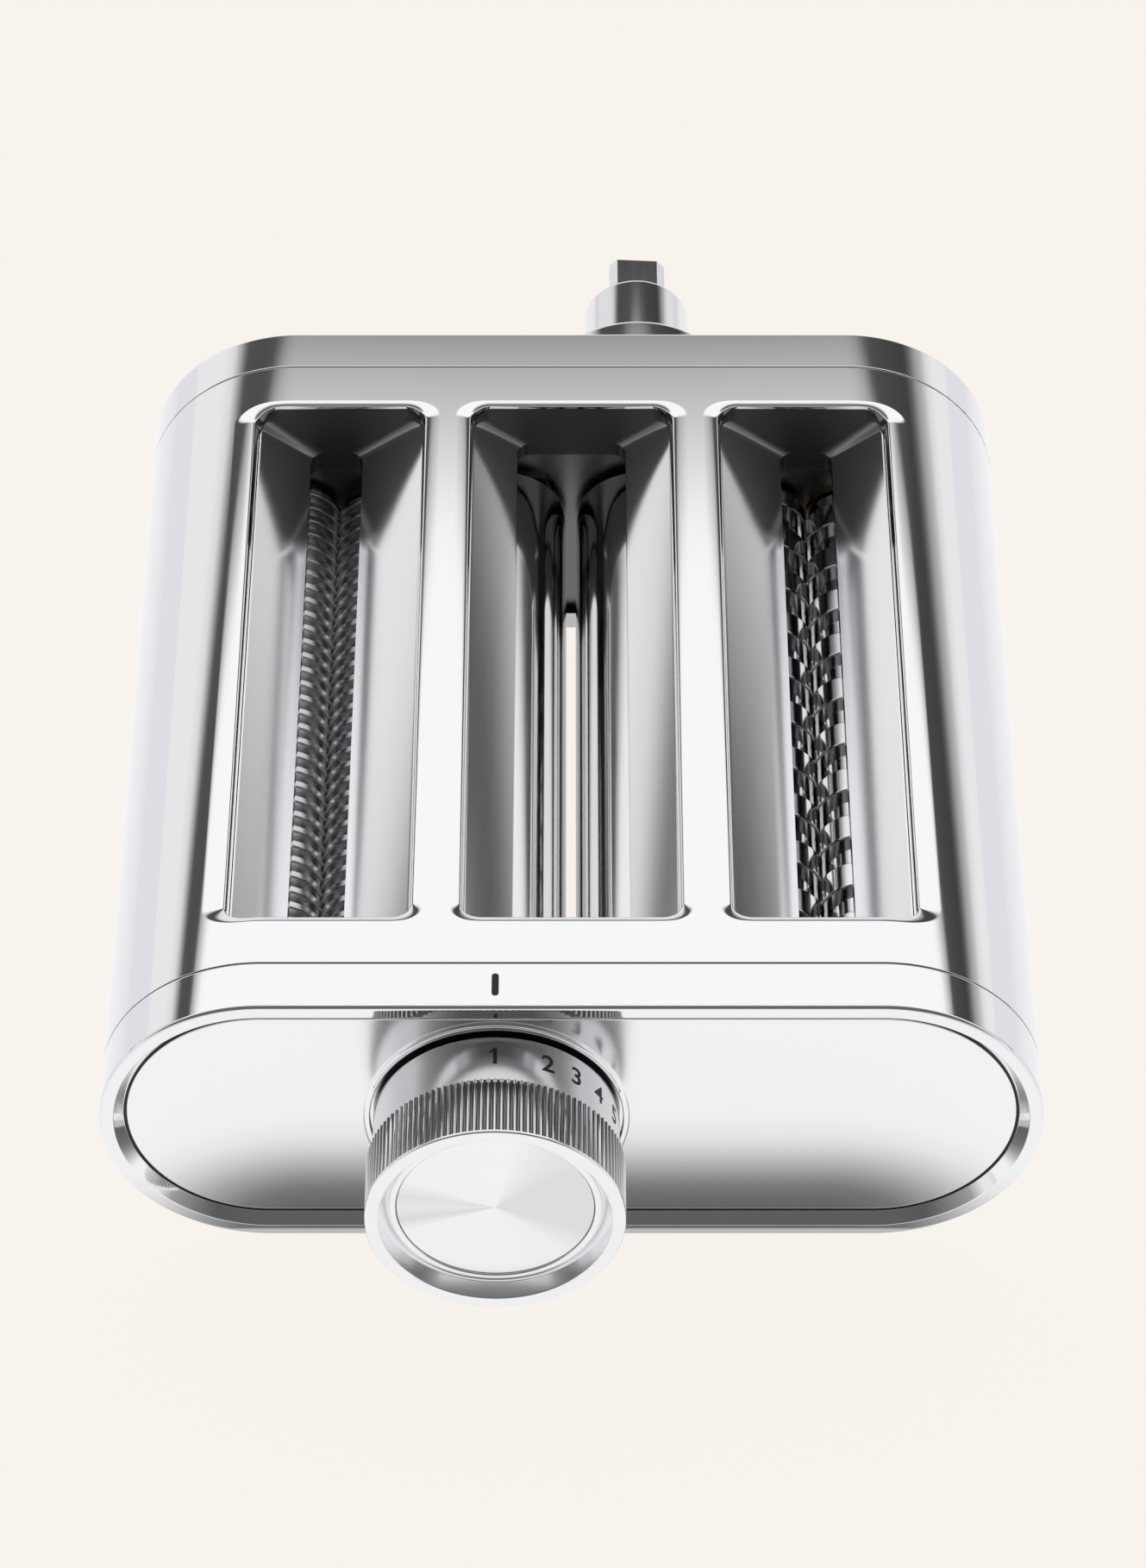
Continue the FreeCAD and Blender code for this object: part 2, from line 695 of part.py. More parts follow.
def dial_spindle():
    """The dial's spindle: head, stem, journal, collar and eccentric pin."""
    disc_seat, web, head_back = dial_places()
    collar = bezel_front + bezel_hub_length + slide_clearance
    collar_end = collar + spindle_collar_thickness
    pin_end = front_plate_y + plate_thickness / 2 - slide_clearance * 2
    head_front = head_back - spindle_head_thickness
    profile = ((0.0, head_front), (spindle_head_radius, head_front), (spindle_head_radius, head_back),
               (spindle_radius, head_back), (spindle_radius, bezel_front),
               (spindle_journal_radius, bezel_front), (spindle_journal_radius, collar),
               (spindle_collar_radius, collar), (spindle_collar_radius, collar_end), (0.0, collar_end))
    start_angle = math.radians(180 + (180 - dial_turn_range) / 2)
    pin_x = dial_x + eccentricity * math.cos(start_angle)
    pin_z = axis_z + eccentricity * math.sin(start_angle)
    pin = rod(eccentric_pin_radius, collar_end, pin_end, pin_x, pin_z)
    return turned(profile, dial_x).fuse(pin).removeSplitter()


def dial_knob():
    """The knob: grip, number band, dished front and the pocket for its spring."""
    disc_seat, web, head_back = dial_places()
    grip_end = knob_front + knurl_length
    floor = knob_front + dial_dish_depth
    bore = spindle_radius + running_clearance
    web_back = web + dial_web_thickness
    profile = ((bore, web), (dial_pocket_radius, web), (dial_pocket_radius, disc_seat),
               (dial_disc_radius + seat_clearance, disc_seat), (dial_disc_radius + seat_clearance, floor),
               (dial_ring_radius, floor), (dial_dish_radius, knob_front), (knurl_radius, knob_front),
               (knurl_radius, grip_end), (band_radius, grip_end), (band_radius, knob_back),
               (band_radius - dial_wall, knob_back), (band_radius - dial_wall, web_back), (bore, web_back))
    return turned(profile, dial_x)


def dial_disc():
    """The round plate that closes the knob's front."""
    start = knob_front + dial_dish_depth
    return rod(dial_disc_radius, start, start + dial_disc_thickness, dial_x)


def dial_spring():
    """The coil that draws the knob back, between the spindle's head and the knob's web."""
    disc_seat, web, head_back = dial_places()
    radius = (spindle_radius + spindle_head_radius) / 2
    margin = spring_wire_radius + slide_clearance
    height = web - head_back - 2 * margin
    helix = Part.makeHelix(height / spring_turns, height, radius)
    section = Part.Wire(Part.makeCircle(spring_wire_radius, point(radius, 0, 0), ALONG))
    coil = Part.Wire(helix.Edges).makePipeShell([section], True, True)
    coil.rotate(point(0, 0, 0), FreeCAD.Vector(1, 0, 0), -90)
    coil.translate(point(dial_x, head_back + margin, axis_z))
    return Part.Solid(coil) if coil.ShapeType == "Shell" else coil


def all_parts():
    """Every piece by name."""
    long_end = train_gear_y + train_gear_width
    parts = {
        "outer_sleeve": outer_sleeve(),
        "front_cap": cap(body_front, sleeve_front),
        "front_fascia": fascia(front_fascia_y, dial_x, bezel_hub_radius + seat_clearance),
        "back_cap": cap(body_back, sleeve_back),
        "back_fascia": fascia(back_fascia_y, drive_x, shank_seat_radius + seat_clearance),
        "hub_flange": hub_flange(),
        "hub_shank": hub_shank(),
        "front_frame_plate": frame_plate(front_plate_y),
        "rear_frame_plate": frame_plate(rear_plate_y),
        "frame_rods": frame_rods(),
        "roller_bushes": bushes(roller_places()[:1]),
        "cutter_bushes": bushes(roller_places()[1:]),
        "drive_roller": drive_roller(),
        "adjustable_roller": adjustable_roller(),
        "drive_shaft": drive_shaft(),
        "front_bearing_block": front_bearing_block(),
        "rear_bearing_block": rear_bearing_block(),
        "carriage_tie_rod": tie_rod(),
        "dial_bezel": dial_bezel(),
        "dial_spindle": dial_spindle(),
        "dial_knob": dial_knob(),
        "dial_disc": dial_disc(),
        "dial_spring": dial_spring(),
    }
    for slot in SLOTS:
        parts[slot.name + "_hopper"] = hopper(slot)
    for name, side, pitch in (("fine", -1, fine_pitch), ("wide", 1, wide_pitch)):
        parts[name + "_inner_cutter"] = cutter(side * cutter_inner_x, pitch, False, long_end)
        parts[name + "_outer_cutter"] = cutter(side * cutter_outer_x, pitch, True, axle_end_y)
    parts.update(gears())
    return parts


os.makedirs("parts", exist_ok=True)
for node, shape in all_parts().items():
    shape.exportStep(os.path.join("parts", node + ".step"))
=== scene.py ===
"""Looks of the mixer-driven pasta roller and cutter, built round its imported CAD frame."""

import json
import logging
import math
from dataclasses import dataclass
from enum import Enum
from typing import Iterable, Sequence

import bmesh
import bpy
from mathutils import Matrix, Vector


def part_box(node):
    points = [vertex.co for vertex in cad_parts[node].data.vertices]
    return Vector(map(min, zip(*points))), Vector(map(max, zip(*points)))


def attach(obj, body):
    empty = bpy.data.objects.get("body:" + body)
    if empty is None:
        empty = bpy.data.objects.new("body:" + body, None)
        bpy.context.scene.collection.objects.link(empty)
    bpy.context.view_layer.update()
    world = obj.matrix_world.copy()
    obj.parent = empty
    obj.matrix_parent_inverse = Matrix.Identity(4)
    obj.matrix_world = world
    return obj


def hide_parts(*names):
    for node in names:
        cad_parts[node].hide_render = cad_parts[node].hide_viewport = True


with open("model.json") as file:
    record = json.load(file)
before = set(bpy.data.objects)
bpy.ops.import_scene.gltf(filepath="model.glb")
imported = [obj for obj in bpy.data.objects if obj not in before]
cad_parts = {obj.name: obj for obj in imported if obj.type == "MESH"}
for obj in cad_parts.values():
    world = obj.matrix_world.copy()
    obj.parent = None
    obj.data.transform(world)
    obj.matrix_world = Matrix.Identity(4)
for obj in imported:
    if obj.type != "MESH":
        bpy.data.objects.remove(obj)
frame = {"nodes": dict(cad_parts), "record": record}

LOG = logging.getLogger("pasta_roller")
MM = 0.001
AXIS = 35.0
DIAL_X = -15.75
HUB_X = 15.75
CUTTERS_FRONT = -103.35
CUTTERS_BACK = 65.65
SHARP_ANGLE = math.radians(32)
WELD = 1e-6
Plan = tuple[float, float]
Colour = tuple[float, float, float]
Ring = list[bmesh.types.BMVert]
Lean = bmesh.types.BMLayerItem


class Slot(Enum):
    """Material slots of the record that a piece can take its finish from."""

    POLISHED = "polished_steel"
    FASCIA = "fascia_steel"
    ROLLER = "roller_steel"
    CUTTER = "cutter_steel"
    BRUSHED = "brushed_steel"
    FRAME = "frame_steel"
    GEAR = "gear_steel"
    DRIVE = "drive_steel"
    BUSH = "bush_bronze"
    SPRING = "spring_steel"


class Body(Enum):
    """Moving bodies that the visible pieces ride on."""

    HOUSING = "housing"
    DRIVE_LINE = "drive_line"
    SLIDING_ROLLER = "sliding_roller"
    FINE_INNER = "fine_inner"
    FINE_OUTER = "fine_outer"
    WIDE_INNER = "wide_inner"
    WIDE_OUTER = "wide_outer"
    KNOB = "knob"


def opaque(colour: Colour) -> tuple[float, ...]:
    """A colour as a socket takes it.

    Args:
        colour: Linear colour.

    Returns:
        The colour with full alpha.
    """
    return (*colour, 1.0)


def grey(level: float) -> tuple[float, ...]:
    """A grey as a socket takes it.

    Args:
        level: Linear grey.

    Returns:
        The grey with full alpha.
    """
    return opaque((level, level, level))


class Graph:
    """A node tree that is built up node by node.

    Wherever a value is asked for, a socket is linked and anything else is set on the input.
    """

    def __init__(self, tree: bpy.types.NodeTree) -> None:
        """Takes the tree to build in.

        Args:
            tree: Tree of a material or a world.
        """
        self.nodes = tree.nodes
        self.links = tree.links

    def feed(self, socket: bpy.types.NodeSocket, value: object) -> None:
        """Links a socket to an input, or sets a value on it.

        Args:
            socket: The input.
            value: A socket or a value.
        """
        if isinstance(value, bpy.types.NodeSocket):
            self.links.new(value, socket)
        else:
            socket.default_value = value

    def add(self, kind: str, inputs: dict[str | int, object], **settings: str) -> bpy.types.NodeOutputs:
        """Adds a node.

        Args:
            kind: The node's type after its usual prefix.
            inputs: Values of its inputs.
            settings: Properties that are set first.

        Returns:
            The node's outputs.
        """
        node = self.nodes.new("ShaderNode" + kind)
        for key, setting in settings.items():
            setattr(node, key, setting)
        for key, value in inputs.items():
            self.feed(node.inputs[key], value)
        return node.outputs

    def math(self, operation: str, *values: object) -> bpy.types.NodeSocket:
        """Adds a sum on numbers.

        Args:
            operation: Name of the operation.
            values: What it works on.

        Returns:
            The result.
        """
        return self.add("Math", dict(enumerate(values)), operation=operation)["Value"]

    def vector(self, operation: str, *values: object) -> bpy.types.NodeSocket:
        """Adds a sum on vectors.

        Args:
            operation: Name of the operation.
            values: What it works on.

        Returns:
            The resulting vector, or the number if it is a length.
        """
        made = self.add("VectorMath", dict(enumerate(values)), operation=operation)
        return made["Value"] if operation == "LENGTH" else made["Vector"]

    def span(self, value: object, low: float, high: float, first: float = 0.0, last: float = 1.0,
             ease: str = "LINEAR") -> bpy.types.NodeSocket:
        """Maps a number from one range to another.

        Args:
            value: The number.
            low: Start of its range.
            high: End of its range.
            first: What the start becomes.
            last: What the end becomes.
            ease: How it goes from one to the other.

        Returns:
            The mapped number.
        """
        inputs = {"Value": value, "From Min": low, "From Max": high, "To Min": first, "To Max": last}
        return self.add("MapRange", inputs, interpolation_type=ease)["Result"]

    def mix(self, share: object, first: object, last: object, blend: str = "MIX") -> bpy.types.NodeSocket:
        """Mixes two colours.

        Args:
            share: Share of the second one.
            first: First colour.
            last: Second colour.
            blend: How they are mixed.

        Returns:
            The mixed colour.
        """
        return self.add("Mix", {0: share, 6: first, 7: last}, data_type="RGBA", blend_type=blend)[2]

    def coords(self, kind: str) -> bpy.types.NodeSocket:
        """Adds texture coordinates.

        Args:
            kind: Name of the output.

        Returns:
            The coordinates.
        """
        return self.add("TexCoord", {})[kind]

    def split(self, vector: bpy.types.NodeSocket) -> bpy.types.NodeOutputs:
        """Splits a vector.

        Args:
            vector: The vector.

        Returns:
            Outputs named X, Y and Z.
        """
        return self.add("SeparateXYZ", {0: vector})

    def ramp(self, place: bpy.types.NodeSocket, stops: Sequence[Plan]) -> bpy.types.NodeSocket:
        """Adds a grey ramp.

        Args:
            place: Where along the ramp to read it.
            stops: Pairs of place and grey level.

        Returns:
            The colour.
        """
        node = self.nodes.new("ShaderNodeValToRGB")
        elements = node.color_ramp.elements
        while len(elements) < len(stops):
            elements.new(0.5)
        for element, (position, level) in zip(elements, stops):
            element.position = position
            element.color = grey(level)
        self.feed(node.inputs["Fac"], place)
        return node.outputs["Color"]

    def dial_arm(self) -> bpy.types.NodeSocket:
        """Adds the vector from the dial's axis out to the shaded point.

        Returns:
            The vector.
        """
        back = (-DIAL_X * MM, 0.0, -AXIS * MM)
        return self.vector("MULTIPLY_ADD", self.coords("Object"), (1.0, 0.0, 1.0), back)


@dataclass(frozen=True)
class Finish:
    """A metal finish with fine streaks in its roughness.

    Attributes:
        name: Name of the material.
        colour: Linear base colour.
        roughness: Mean roughness.
        streak: How far the streaks move the roughness.
        streak_scale: Streaks per metre along x, y and z.
        anisotropy: How far highlights stretch across the streaks.
        metallic: 1 for bare metal, 0 for paint.
    """

    name: str
    colour: Colour
    roughness: float
    streak: float = 0.02
    streak_scale: tuple[float, float, float] = (900.0, 40.0, 900.0)
    anisotropy: float = 0.0
    metallic: float = 1.0

    def material(self) -> bpy.types.Material:
        """Makes the material, or finds it if it was made before.

        Returns:
            The procedural material.
        """
        made = bpy.data.materials.get(self.name)
        if made is not None:
            return made
        made = bpy.data.materials.new(self.name)
        made.use_nodes = True
        graph = Graph(made.node_tree)
        shader = graph.nodes["Principled BSDF"].inputs
        shader["Base Color"].default_value = opaque(self.colour)
        shader["Metallic"].default_value = self.metallic
        shader["Anisotropic"].default_value = self.anisotropy
        stretch = graph.add("Mapping", {"Vector": graph.coords("Object"), "Scale": self.streak_scale})
        noise = graph.add("TexNoise", {"Vector": stretch["Vector"], "Scale": 1.0, "Detail": 4.0})
        least, most = max(self.roughness - self.streak, 0.0), self.roughness + self.streak
        graph.feed(shader["Roughness"], graph.span(noise["Fac"], 0.0, 1.0, least, most))
        self.detail(graph, shader)
        return made

    def detail(self, graph: Graph, shader: bpy.types.NodeInputs) -> None:
        """Adds what a special finish has beyond the streaks; a plain one has nothing.

        Args:
            graph: The material's nodes.
            shader: Inputs of its shader.
        """


@dataclass(frozen=True)
class KnurlFinishWithPaintedShade(Finish):
    """Polished ridges over flutes darkened with painted shade, told apart by their distance from the dial's
    axis.

    Attributes:
        floor: Radius of the flutes' floor in metres.
        crest: Radius of the ridges in metres.
        dark: Grey of the painted shade on the flutes' floor.
    """

    floor: float = 0.02657
    crest: float = 0.02696
    dark: float = 0.20

    def detail(self, graph: Graph, shader: bpy.types.NodeInputs) -> None:
        """Paints shade into the flutes of the steel.

        Args:
            graph: The material's nodes.
            shader: Inputs of its shader.
        """
        # Painted shade: the base colour darkens from the ridges down to the flutes' floor.
        depth = graph.span(graph.vector("LENGTH", graph.dial_arm()), self.floor, self.crest)
        graph.feed(shader["Base Color"], graph.mix(depth, grey(self.dark), opaque(self.colour)))


@dataclass(frozen=True)
class FunnelFinishWithPaintedShade(Finish):
    """Steel ramps whose upright ends are darkened with painted shade and made duller.

    Attributes:
        shade: Grey of the painted shade on the ends.
        start: Share of the normal along y where the shade starts.
        full: Share of the normal along y where it is full.
        dull: Roughness of the ends.
    """

    shade: float = 0.16
    start: float = 0.35
    full: float = 0.92
    dull: float = 0.5

    def detail(self, graph: Graph, shader: bpy.types.NodeInputs) -> None:
        """Paints shade on the upright ends of the steel and makes them duller.

        Args:
            graph: The material's nodes.
            shader: Inputs of its shader.
        """
        # Painted shade: faces whose normal runs along y, the upright ends, turn dark grey.
        along = graph.math("ABSOLUTE", graph.split(graph.coords("Normal"))["Y"])
        share = graph.span(along, self.start, self.full, ease="SMOOTHSTEP")
        graph.feed(shader["Base Color"], graph.mix(share, opaque(self.colour), grey(self.shade)))
        streaks = shader["Roughness"].links[0].from_socket
        graph.feed(shader["Roughness"], graph.add("Mix", {0: share, 2: streaks, 3: self.dull})[0])


@dataclass(frozen=True)
class DiscFinishWithPaintedHighlights(Finish):
    """Steel brushed in circles, with the fans of light that such a disc shows painted into its colour as
    painted highlights.

    Attributes:
        fans: Pairs of turn, from 0 to 1, and grey of the painted highlights.
        rings: Brushed rings per metre.
        brush: How far the rings show.
    """

    fans: tuple[Plan, ...] = (
        (0.0, 0.86), (0.03, 0.76), (0.06, 0.95), (0.25, 0.95), (0.38, 0.93), (0.44, 0.79), (0.60, 0.78),
        (0.67, 0.88), (0.72, 0.95), (0.93, 0.95), (0.97, 0.80), (1.0, 0.86),
    )
    rings: float = 9000.0
    brush: float = 0.10

    def detail(self, graph: Graph, shader: bpy.types.NodeInputs) -> None:
        """Paints the fans of light into the colour as highlights, and adds the circular brushing to the steel.

        Args:
            graph: The material's nodes.
            shader: Inputs of its shader.
        """
        arm = graph.dial_arm()
        parts = graph.split(arm)
        turn = graph.span(graph.math("ARCTAN2", parts["Z"], parts["X"]), -math.pi, math.pi)
        reach = graph.vector("LENGTH", arm)
        inputs = {"W": reach, "Scale": self.rings, "Detail": 3.0}
        rings = graph.add("TexNoise", inputs, noise_dimensions="1D")["Fac"]
        # Painted highlight: the fans are grey levels set by turn round the disc's axis.
        brushed = graph.mix(self.brush, graph.ramp(turn, self.fans), rings, "OVERLAY")
        graph.feed(shader["Base Color"], brushed)
        graph.feed(shader["Tangent"], graph.vector("CROSS_PRODUCT", arm, (0.0, 1.0, 0.0)))


ROUND_STREAKS = (40.0, 900.0, 40.0)
POLISHED = Finish("polished_steel_look", (0.93, 0.93, 0.94), 0.045, 0.012)
FASCIA = Finish("fascia_steel_look", (0.95, 0.95, 0.955), 0.18, 0.015)
# The knurl's flutes carry painted shade.
KNURL = KnurlFinishWithPaintedShade("knurled_steel_painted_shade_look", (0.93, 0.93, 0.94), 0.08, 0.02)
# The face disc carries painted highlights.
DISC = DiscFinishWithPaintedHighlights("brushed_disc_painted_highlight_look", (0.93, 0.93, 0.935), 0.22, 0.02, anisotropy=0.6)
BAND = Finish("dial_band_look", (0.70, 0.70, 0.71), 0.20, 0.03, ROUND_STREAKS)
RIM = Finish("dial_rim_look", (0.93, 0.93, 0.94), 0.15, 0.02, ROUND_STREAKS)
# The hopper's upright ends carry painted shade.
HOPPER = FunnelFinishWithPaintedShade("hopper_steel_painted_shade_look", (0.93, 0.925, 0.95), 0.12, 0.01)
ROLLER = Finish("roller_steel_look", (0.84, 0.84, 0.85), 0.09, 0.03)
CUTTER = Finish("cutter_steel_look", (0.90, 0.90, 0.91), 0.13, 0.02)
FINE_CUTTER = Finish("fine_cutter_steel_look", (0.98, 0.98, 0.985), 0.28, 0.02)
FRAME = Finish("frame_steel_look", (0.30, 0.30, 0.31), 0.32, 0.06)
GEAR = Finish("gear_steel_look", (0.42, 0.42, 0.43), 0.30, 0.06)
DRIVE = Finish("drive_steel_look", (0.84, 0.84, 0.85), 0.05, 0.02)
BUSH = Finish("bush_bronze_look", (0.36, 0.27, 0.17), 0.38, 0.06)
SPRING = Finish("spring_steel_look", (0.52, 0.52, 0.54), 0.28, 0.05)
# Dark ink for the printed numbers and the index mark; the same dark is used as painted shade on strips and
# faces laid in gaps.
INK_AND_PAINTED_SHADE = Finish("ink_and_painted_shade_look", (0.028, 0.028, 0.030), 0.55, 0.05, metallic=0.0)

CAD_FINISHES: dict[Slot, Finish] = {
    Slot.POLISHED: POLISHED,
    Slot.FASCIA: FASCIA,
    Slot.ROLLER: ROLLER,
    Slot.CUTTER: CUTTER,
    Slot.BRUSHED: FASCIA,
    Slot.FRAME: FRAME,
    Slot.GEAR: GEAR,
    Slot.DRIVE: DRIVE,
    Slot.BUSH: BUSH,
    Slot.SPRING: SPRING,
}


@dataclass(frozen=True)
class Corner:
    """A corner of a section, in millimetres.

    Attributes:
        out: Distance out from the spine or axis.
        along: Station along y.
        radius: Radius that rounds the corner; 0 leaves it sharp.
    """

    out: float
    along: float
    radius: float = 0.0


def rounded(corners: Sequence[Corner], steps: int = 5, hold: float = 0.12) -> list[Plan]:
    """Rounds the corners of an open outline and holds its flats with close points.

    Args:
        corners: The outline's corners in order.
        steps: Segments in each rounded corner.
        hold: Distance of the holding points from a corner.

    Returns:
        Points of the outline as (out, along) pairs.
    """
    points: list[Plan] = [(corners[0].out, corners[0].along)]
    for before, corner, after in zip(corners, corners[1:], corners[2:]):
        here = Vector((corner.out, corner.along))
        back = Vector((before.out, before.along)) - here
        on = Vector((after.out, after.along)) - here
        if corner.radius <= 0.0:
            for side in (back, on):
                if side.length > 3 * hold:
                    points.append(tuple(here + side.normalized() * hold))
                if side is back:
                    points.append(tuple(here))
            continue
        half = back.angle(on) / 2
        reach = min(corner.radius / math.tan(half), 0.49 * back.length, 0.49 * on.length)
        radius = reach * math.tan(half)
        middle = here + (back.normalized() + on.normalized()).normalized() * (radius / math.sin(half))
        first = here + back.normalized() * reach
        last = here + on.normalized() * reach
        if back.length - reach > 3 * hold:
            points.append(tuple(first + back.normalized() * hold))
        swing = (first - middle).angle_signed(last - middle)
        for step in range(steps + 1):
            arm = (first - middle).copy()
            arm.rotate(Matrix.Rotation(-swing * step / steps, 2))
            points.append(tuple(middle + arm))
        if on.length - reach > 3 * hold:
            points.append(tuple(last + on.normalized() * hold))
    points.append((corners[-1].out, corners[-1].along))
    return points


@dataclass(frozen=True)
class Section:
    """A circle, or a stadium if it has a flat, that outlines are swept round.

    Attributes:
        x: Centre across the housing.
        flat: Half length of the straight sides.
        z: Centre above the underside.
        steps: Segments in each half turn.
        hold: Distance of the holding points from a flat's ends.
    """

    x: float = 0.0
    flat: float = 0.0
    z: float = AXIS
    steps: int = 64
    hold: float = 0.4

    def ring(self, out: float, along: float) -> list[Vector]:
        """Points of the section at a distance out from its spine.

        Args:
            out: Distance from the spine.
            along: Station along y.

        Returns:
            The ring's points in order, in metres.
        """
        places: list[Plan] = []
        for side in (1.0, -1.0):
            for step in range(self.steps + (1 if self.flat else 0)):
                places.append((side * self.flat, math.pi * (step / self.steps - 0.5) * side))
            if self.flat:
                for held in (side, -side):
                    places.append((held * (self.flat - self.hold), math.pi / 2 * side))
        points = []
        for shift, turn in places:
            on_right = shift > 0 or (not self.flat and len(points) < self.steps)
            lean = math.cos(turn) if on_right else -math.cos(turn)
            points.append(Vector((self.x + shift + lean * out, along, self.z + math.sin(turn) * out)) * MM)
        return points


def place_mesh(name: str, mesh: bpy.types.Mesh, finish: Finish) -> bpy.types.Object:
    """Puts a mesh in the scene.

    Args:
        name: The object's name.
        mesh: Its mesh.
        finish: The finish it takes.

    Returns:
        The object, at the origin.
    """
    mesh.materials.append(finish.material())
    made = bpy.data.objects.new(name, mesh)
    bpy.context.scene.collection.objects.link(made)
    return made


class Skin:
    """A mesh that grows by extruding edges from ring to ring."""

    def __init__(self) -> None:
        """Starts with an empty mesh."""
        self.bm = bmesh.new()

    def ring(self, points: Iterable[Vector], closed: bool = True) -> Ring:
        """Lays a first ring of edges.

        Args:
            points: The ring's points in order.
            closed: Whether the last point joins the first.

        Returns:
            The ring's vertices.
        """
        verts = [self.bm.verts.new(point) for point in points]
        for first, last in zip(verts, verts[1:]):
            self.bm.edges.new((first, last))
        if closed:
            self.bm.edges.new((verts[-1], verts[0]))
        return verts

    def edges_of(self, ring: Ring) -> list[bmesh.types.BMEdge]:
        """Edges between neighbours of a ring.

        Args:
            ring: Vertices in order.

        Returns:
            The edges that join them.
        """
        pairs = zip(ring, ring[1:] + ring[:1])
        found = [self.bm.edges.get(pair) for pair in pairs]
        return [edge for edge in found if edge is not None]

    def grow(self, ring: Ring, points: Iterable[Vector]) -> Ring:
        """Extrudes a ring to new places.

        Args:
            ring: The ring to grow from.
            points: Where its vertices go.

        Returns:
            The new ring.
        """
        made = bmesh.ops.extrude_edge_only(self.bm, edges=self.edges_of(ring))["geom"]
        fresh = {item for item in made if isinstance(item, bmesh.types.BMVert)}
        grown = []
        for vert, point in zip(ring, points):
            twin = next(edge.other_vert(vert) for edge in vert.link_edges if edge.other_vert(vert) in fresh)
            twin.co = point
            grown.append(twin)
        return grown

    def sweep(self, section: Section, outline: Sequence[Plan]) -> Ring:
        """Sweeps an outline round a section.

        Args:
            section: The circle or stadium to follow.
            outline: Points as (out, along) pairs.

        Returns:
            The last ring.
        """
        ring = self.ring(section.ring(*outline[0]))
        for out, along in outline[1:]:
            ring = self.grow(ring, section.ring(out, along))
        return ring

    def turn(self, x: float, outline: Sequence[Plan], steps: int) -> None:
        """Spins an outline about an axis along y.

        Args:
            x: The axis across the housing.
            outline: Points as (radius, along) pairs.
            steps: Segments in the full turn.
        """
        points = [Vector((x + out, along, AXIS)) * MM for out, along in outline]
        verts = self.ring(points, closed=False)
        edges = [self.bm.edges.get(pair) for pair in zip(verts, verts[1:])]
        bmesh.ops.spin(
            self.bm, geom=verts + edges, cent=Vector((x, 0.0, AXIS)) * MM, axis=(0.0, 1.0, 0.0),
            angle=math.tau, steps=steps, use_merge=True,
        )

    def fill(self, *rings: Ring) -> None:
        """Fills a flat between rings.

        Args:
            rings: The outer ring and any holes in it.
        """
        edges = [edge for ring in rings for edge in self.edges_of(ring)]
        bmesh.ops.triangle_fill(self.bm, edges=edges, use_beauty=True, use_dissolve=False)

    def cut(self, x: float, near: float) -> None:
        """Cuts the mesh along a plane across x.

        Args:
            x: The plane's place, in the mesh's units.
            near: How near a vertex counts as on the plane.
        """
        parts = list(self.bm.verts) + list(self.bm.edges) + list(self.bm.faces)
        bmesh.ops.bisect_plane(
            self.bm, geom=parts, dist=near, plane_co=(x, 0.0, 0.0), plane_no=(1.0, 0.0, 0.0),
        )

    def piece(self, name: str, finish: Finish) -> bpy.types.Object:
        """Turns the mesh into an object of the scene.

        Args:
            name: The object's name.
            finish: The finish it takes.

        Returns:
            The object, at the origin.
        """
        bmesh.ops.remove_doubles(self.bm, verts=self.bm.verts, dist=WELD)
        bmesh.ops.recalc_face_normals(self.bm, faces=self.bm.faces)
        for face in self.bm.faces:
            face.smooth = True
        for edge in self.bm.edges:
            if len(edge.link_faces) == 2:
                edge.smooth = edge.calc_face_angle(0.0) < SHARP_ANGLE
        mesh = bpy.data.meshes.new(name)
        self.bm.to_mesh(mesh)
        self.bm.free()
        return place_mesh(name, mesh, finish)


def turned(name: str, finish: Finish, x: float, outline: Sequence[Plan], steps: int) -> bpy.types.Object:
    """Makes a piece by spinning an outline about an axis along y.

    Args:
        name: The piece's name.
        finish: The finish it takes.
        x: The axis across the housing.
        outline: Points as (radius, along) pairs.
        steps: Segments in the full turn.

    Returns:
        The piece.
    """
    skin = Skin()
    skin.turn(x, outline, steps)
    return skin.piece(name, finish)


def dress(piece: bpy.types.Object, body: Body, slot: Slot, *nodes: str) -> bpy.types.Object:
    """Ties a piece to its body and hides the CAD nodes it stands for.

    Args:
        piece: The visible piece.
        body: The body it moves with.
        slot: The record's slot it stands for; not used.
        nodes: CAD nodes that it replaces.

    Returns:
        The piece.
    """
    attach(piece, body.value)
    if nodes:
        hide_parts(*nodes)
    return piece


@dataclass(frozen=True)
class Housing:
    """Sizes that the housing's pieces share, in millimetres.

    Attributes:
        radius: Radius of the rounded sides.
        flat: Half width of the flat top.
        body_front: Front of the front cap.
        sleeve_front: Front of the sleeve.
        sleeve_back: Back of the sleeve.
        body_back: Back of the back cap.
        slot_front: Front of the slots.
        slot_back: Back of the slots.
    """

    radius: float = 35.0
    flat: float = 64.2
    body_front: float = -127.35
    sleeve_front: float = -114.35
    sleeve_back: float = 79.25
    body_back: float = 91.65
    slot_front: float = -100.45
    slot_back: float = 65.35

    def section(self) -> Section:
        """The housing's stadium.

        Returns:
            The section.
        """
        return Section(flat=self.flat, steps=72)

    def normal(self, x: float, inset: float = 0.0) -> Vector:
        """Outward normal of the upper skin above a place across the housing.

        Args:
            x: Place across the housing.
            inset: Depth of the skin below the outer one.

        Returns:
            The unit normal in the section's plane.
        """
        over = max(abs(x) - self.flat, 0.0)
        lean = min(over / (self.radius - inset), 1.0)
        return Vector((math.copysign(lean, x), 0.0, math.sqrt(1.0 - lean * lean)))


HOUSING = Housing()


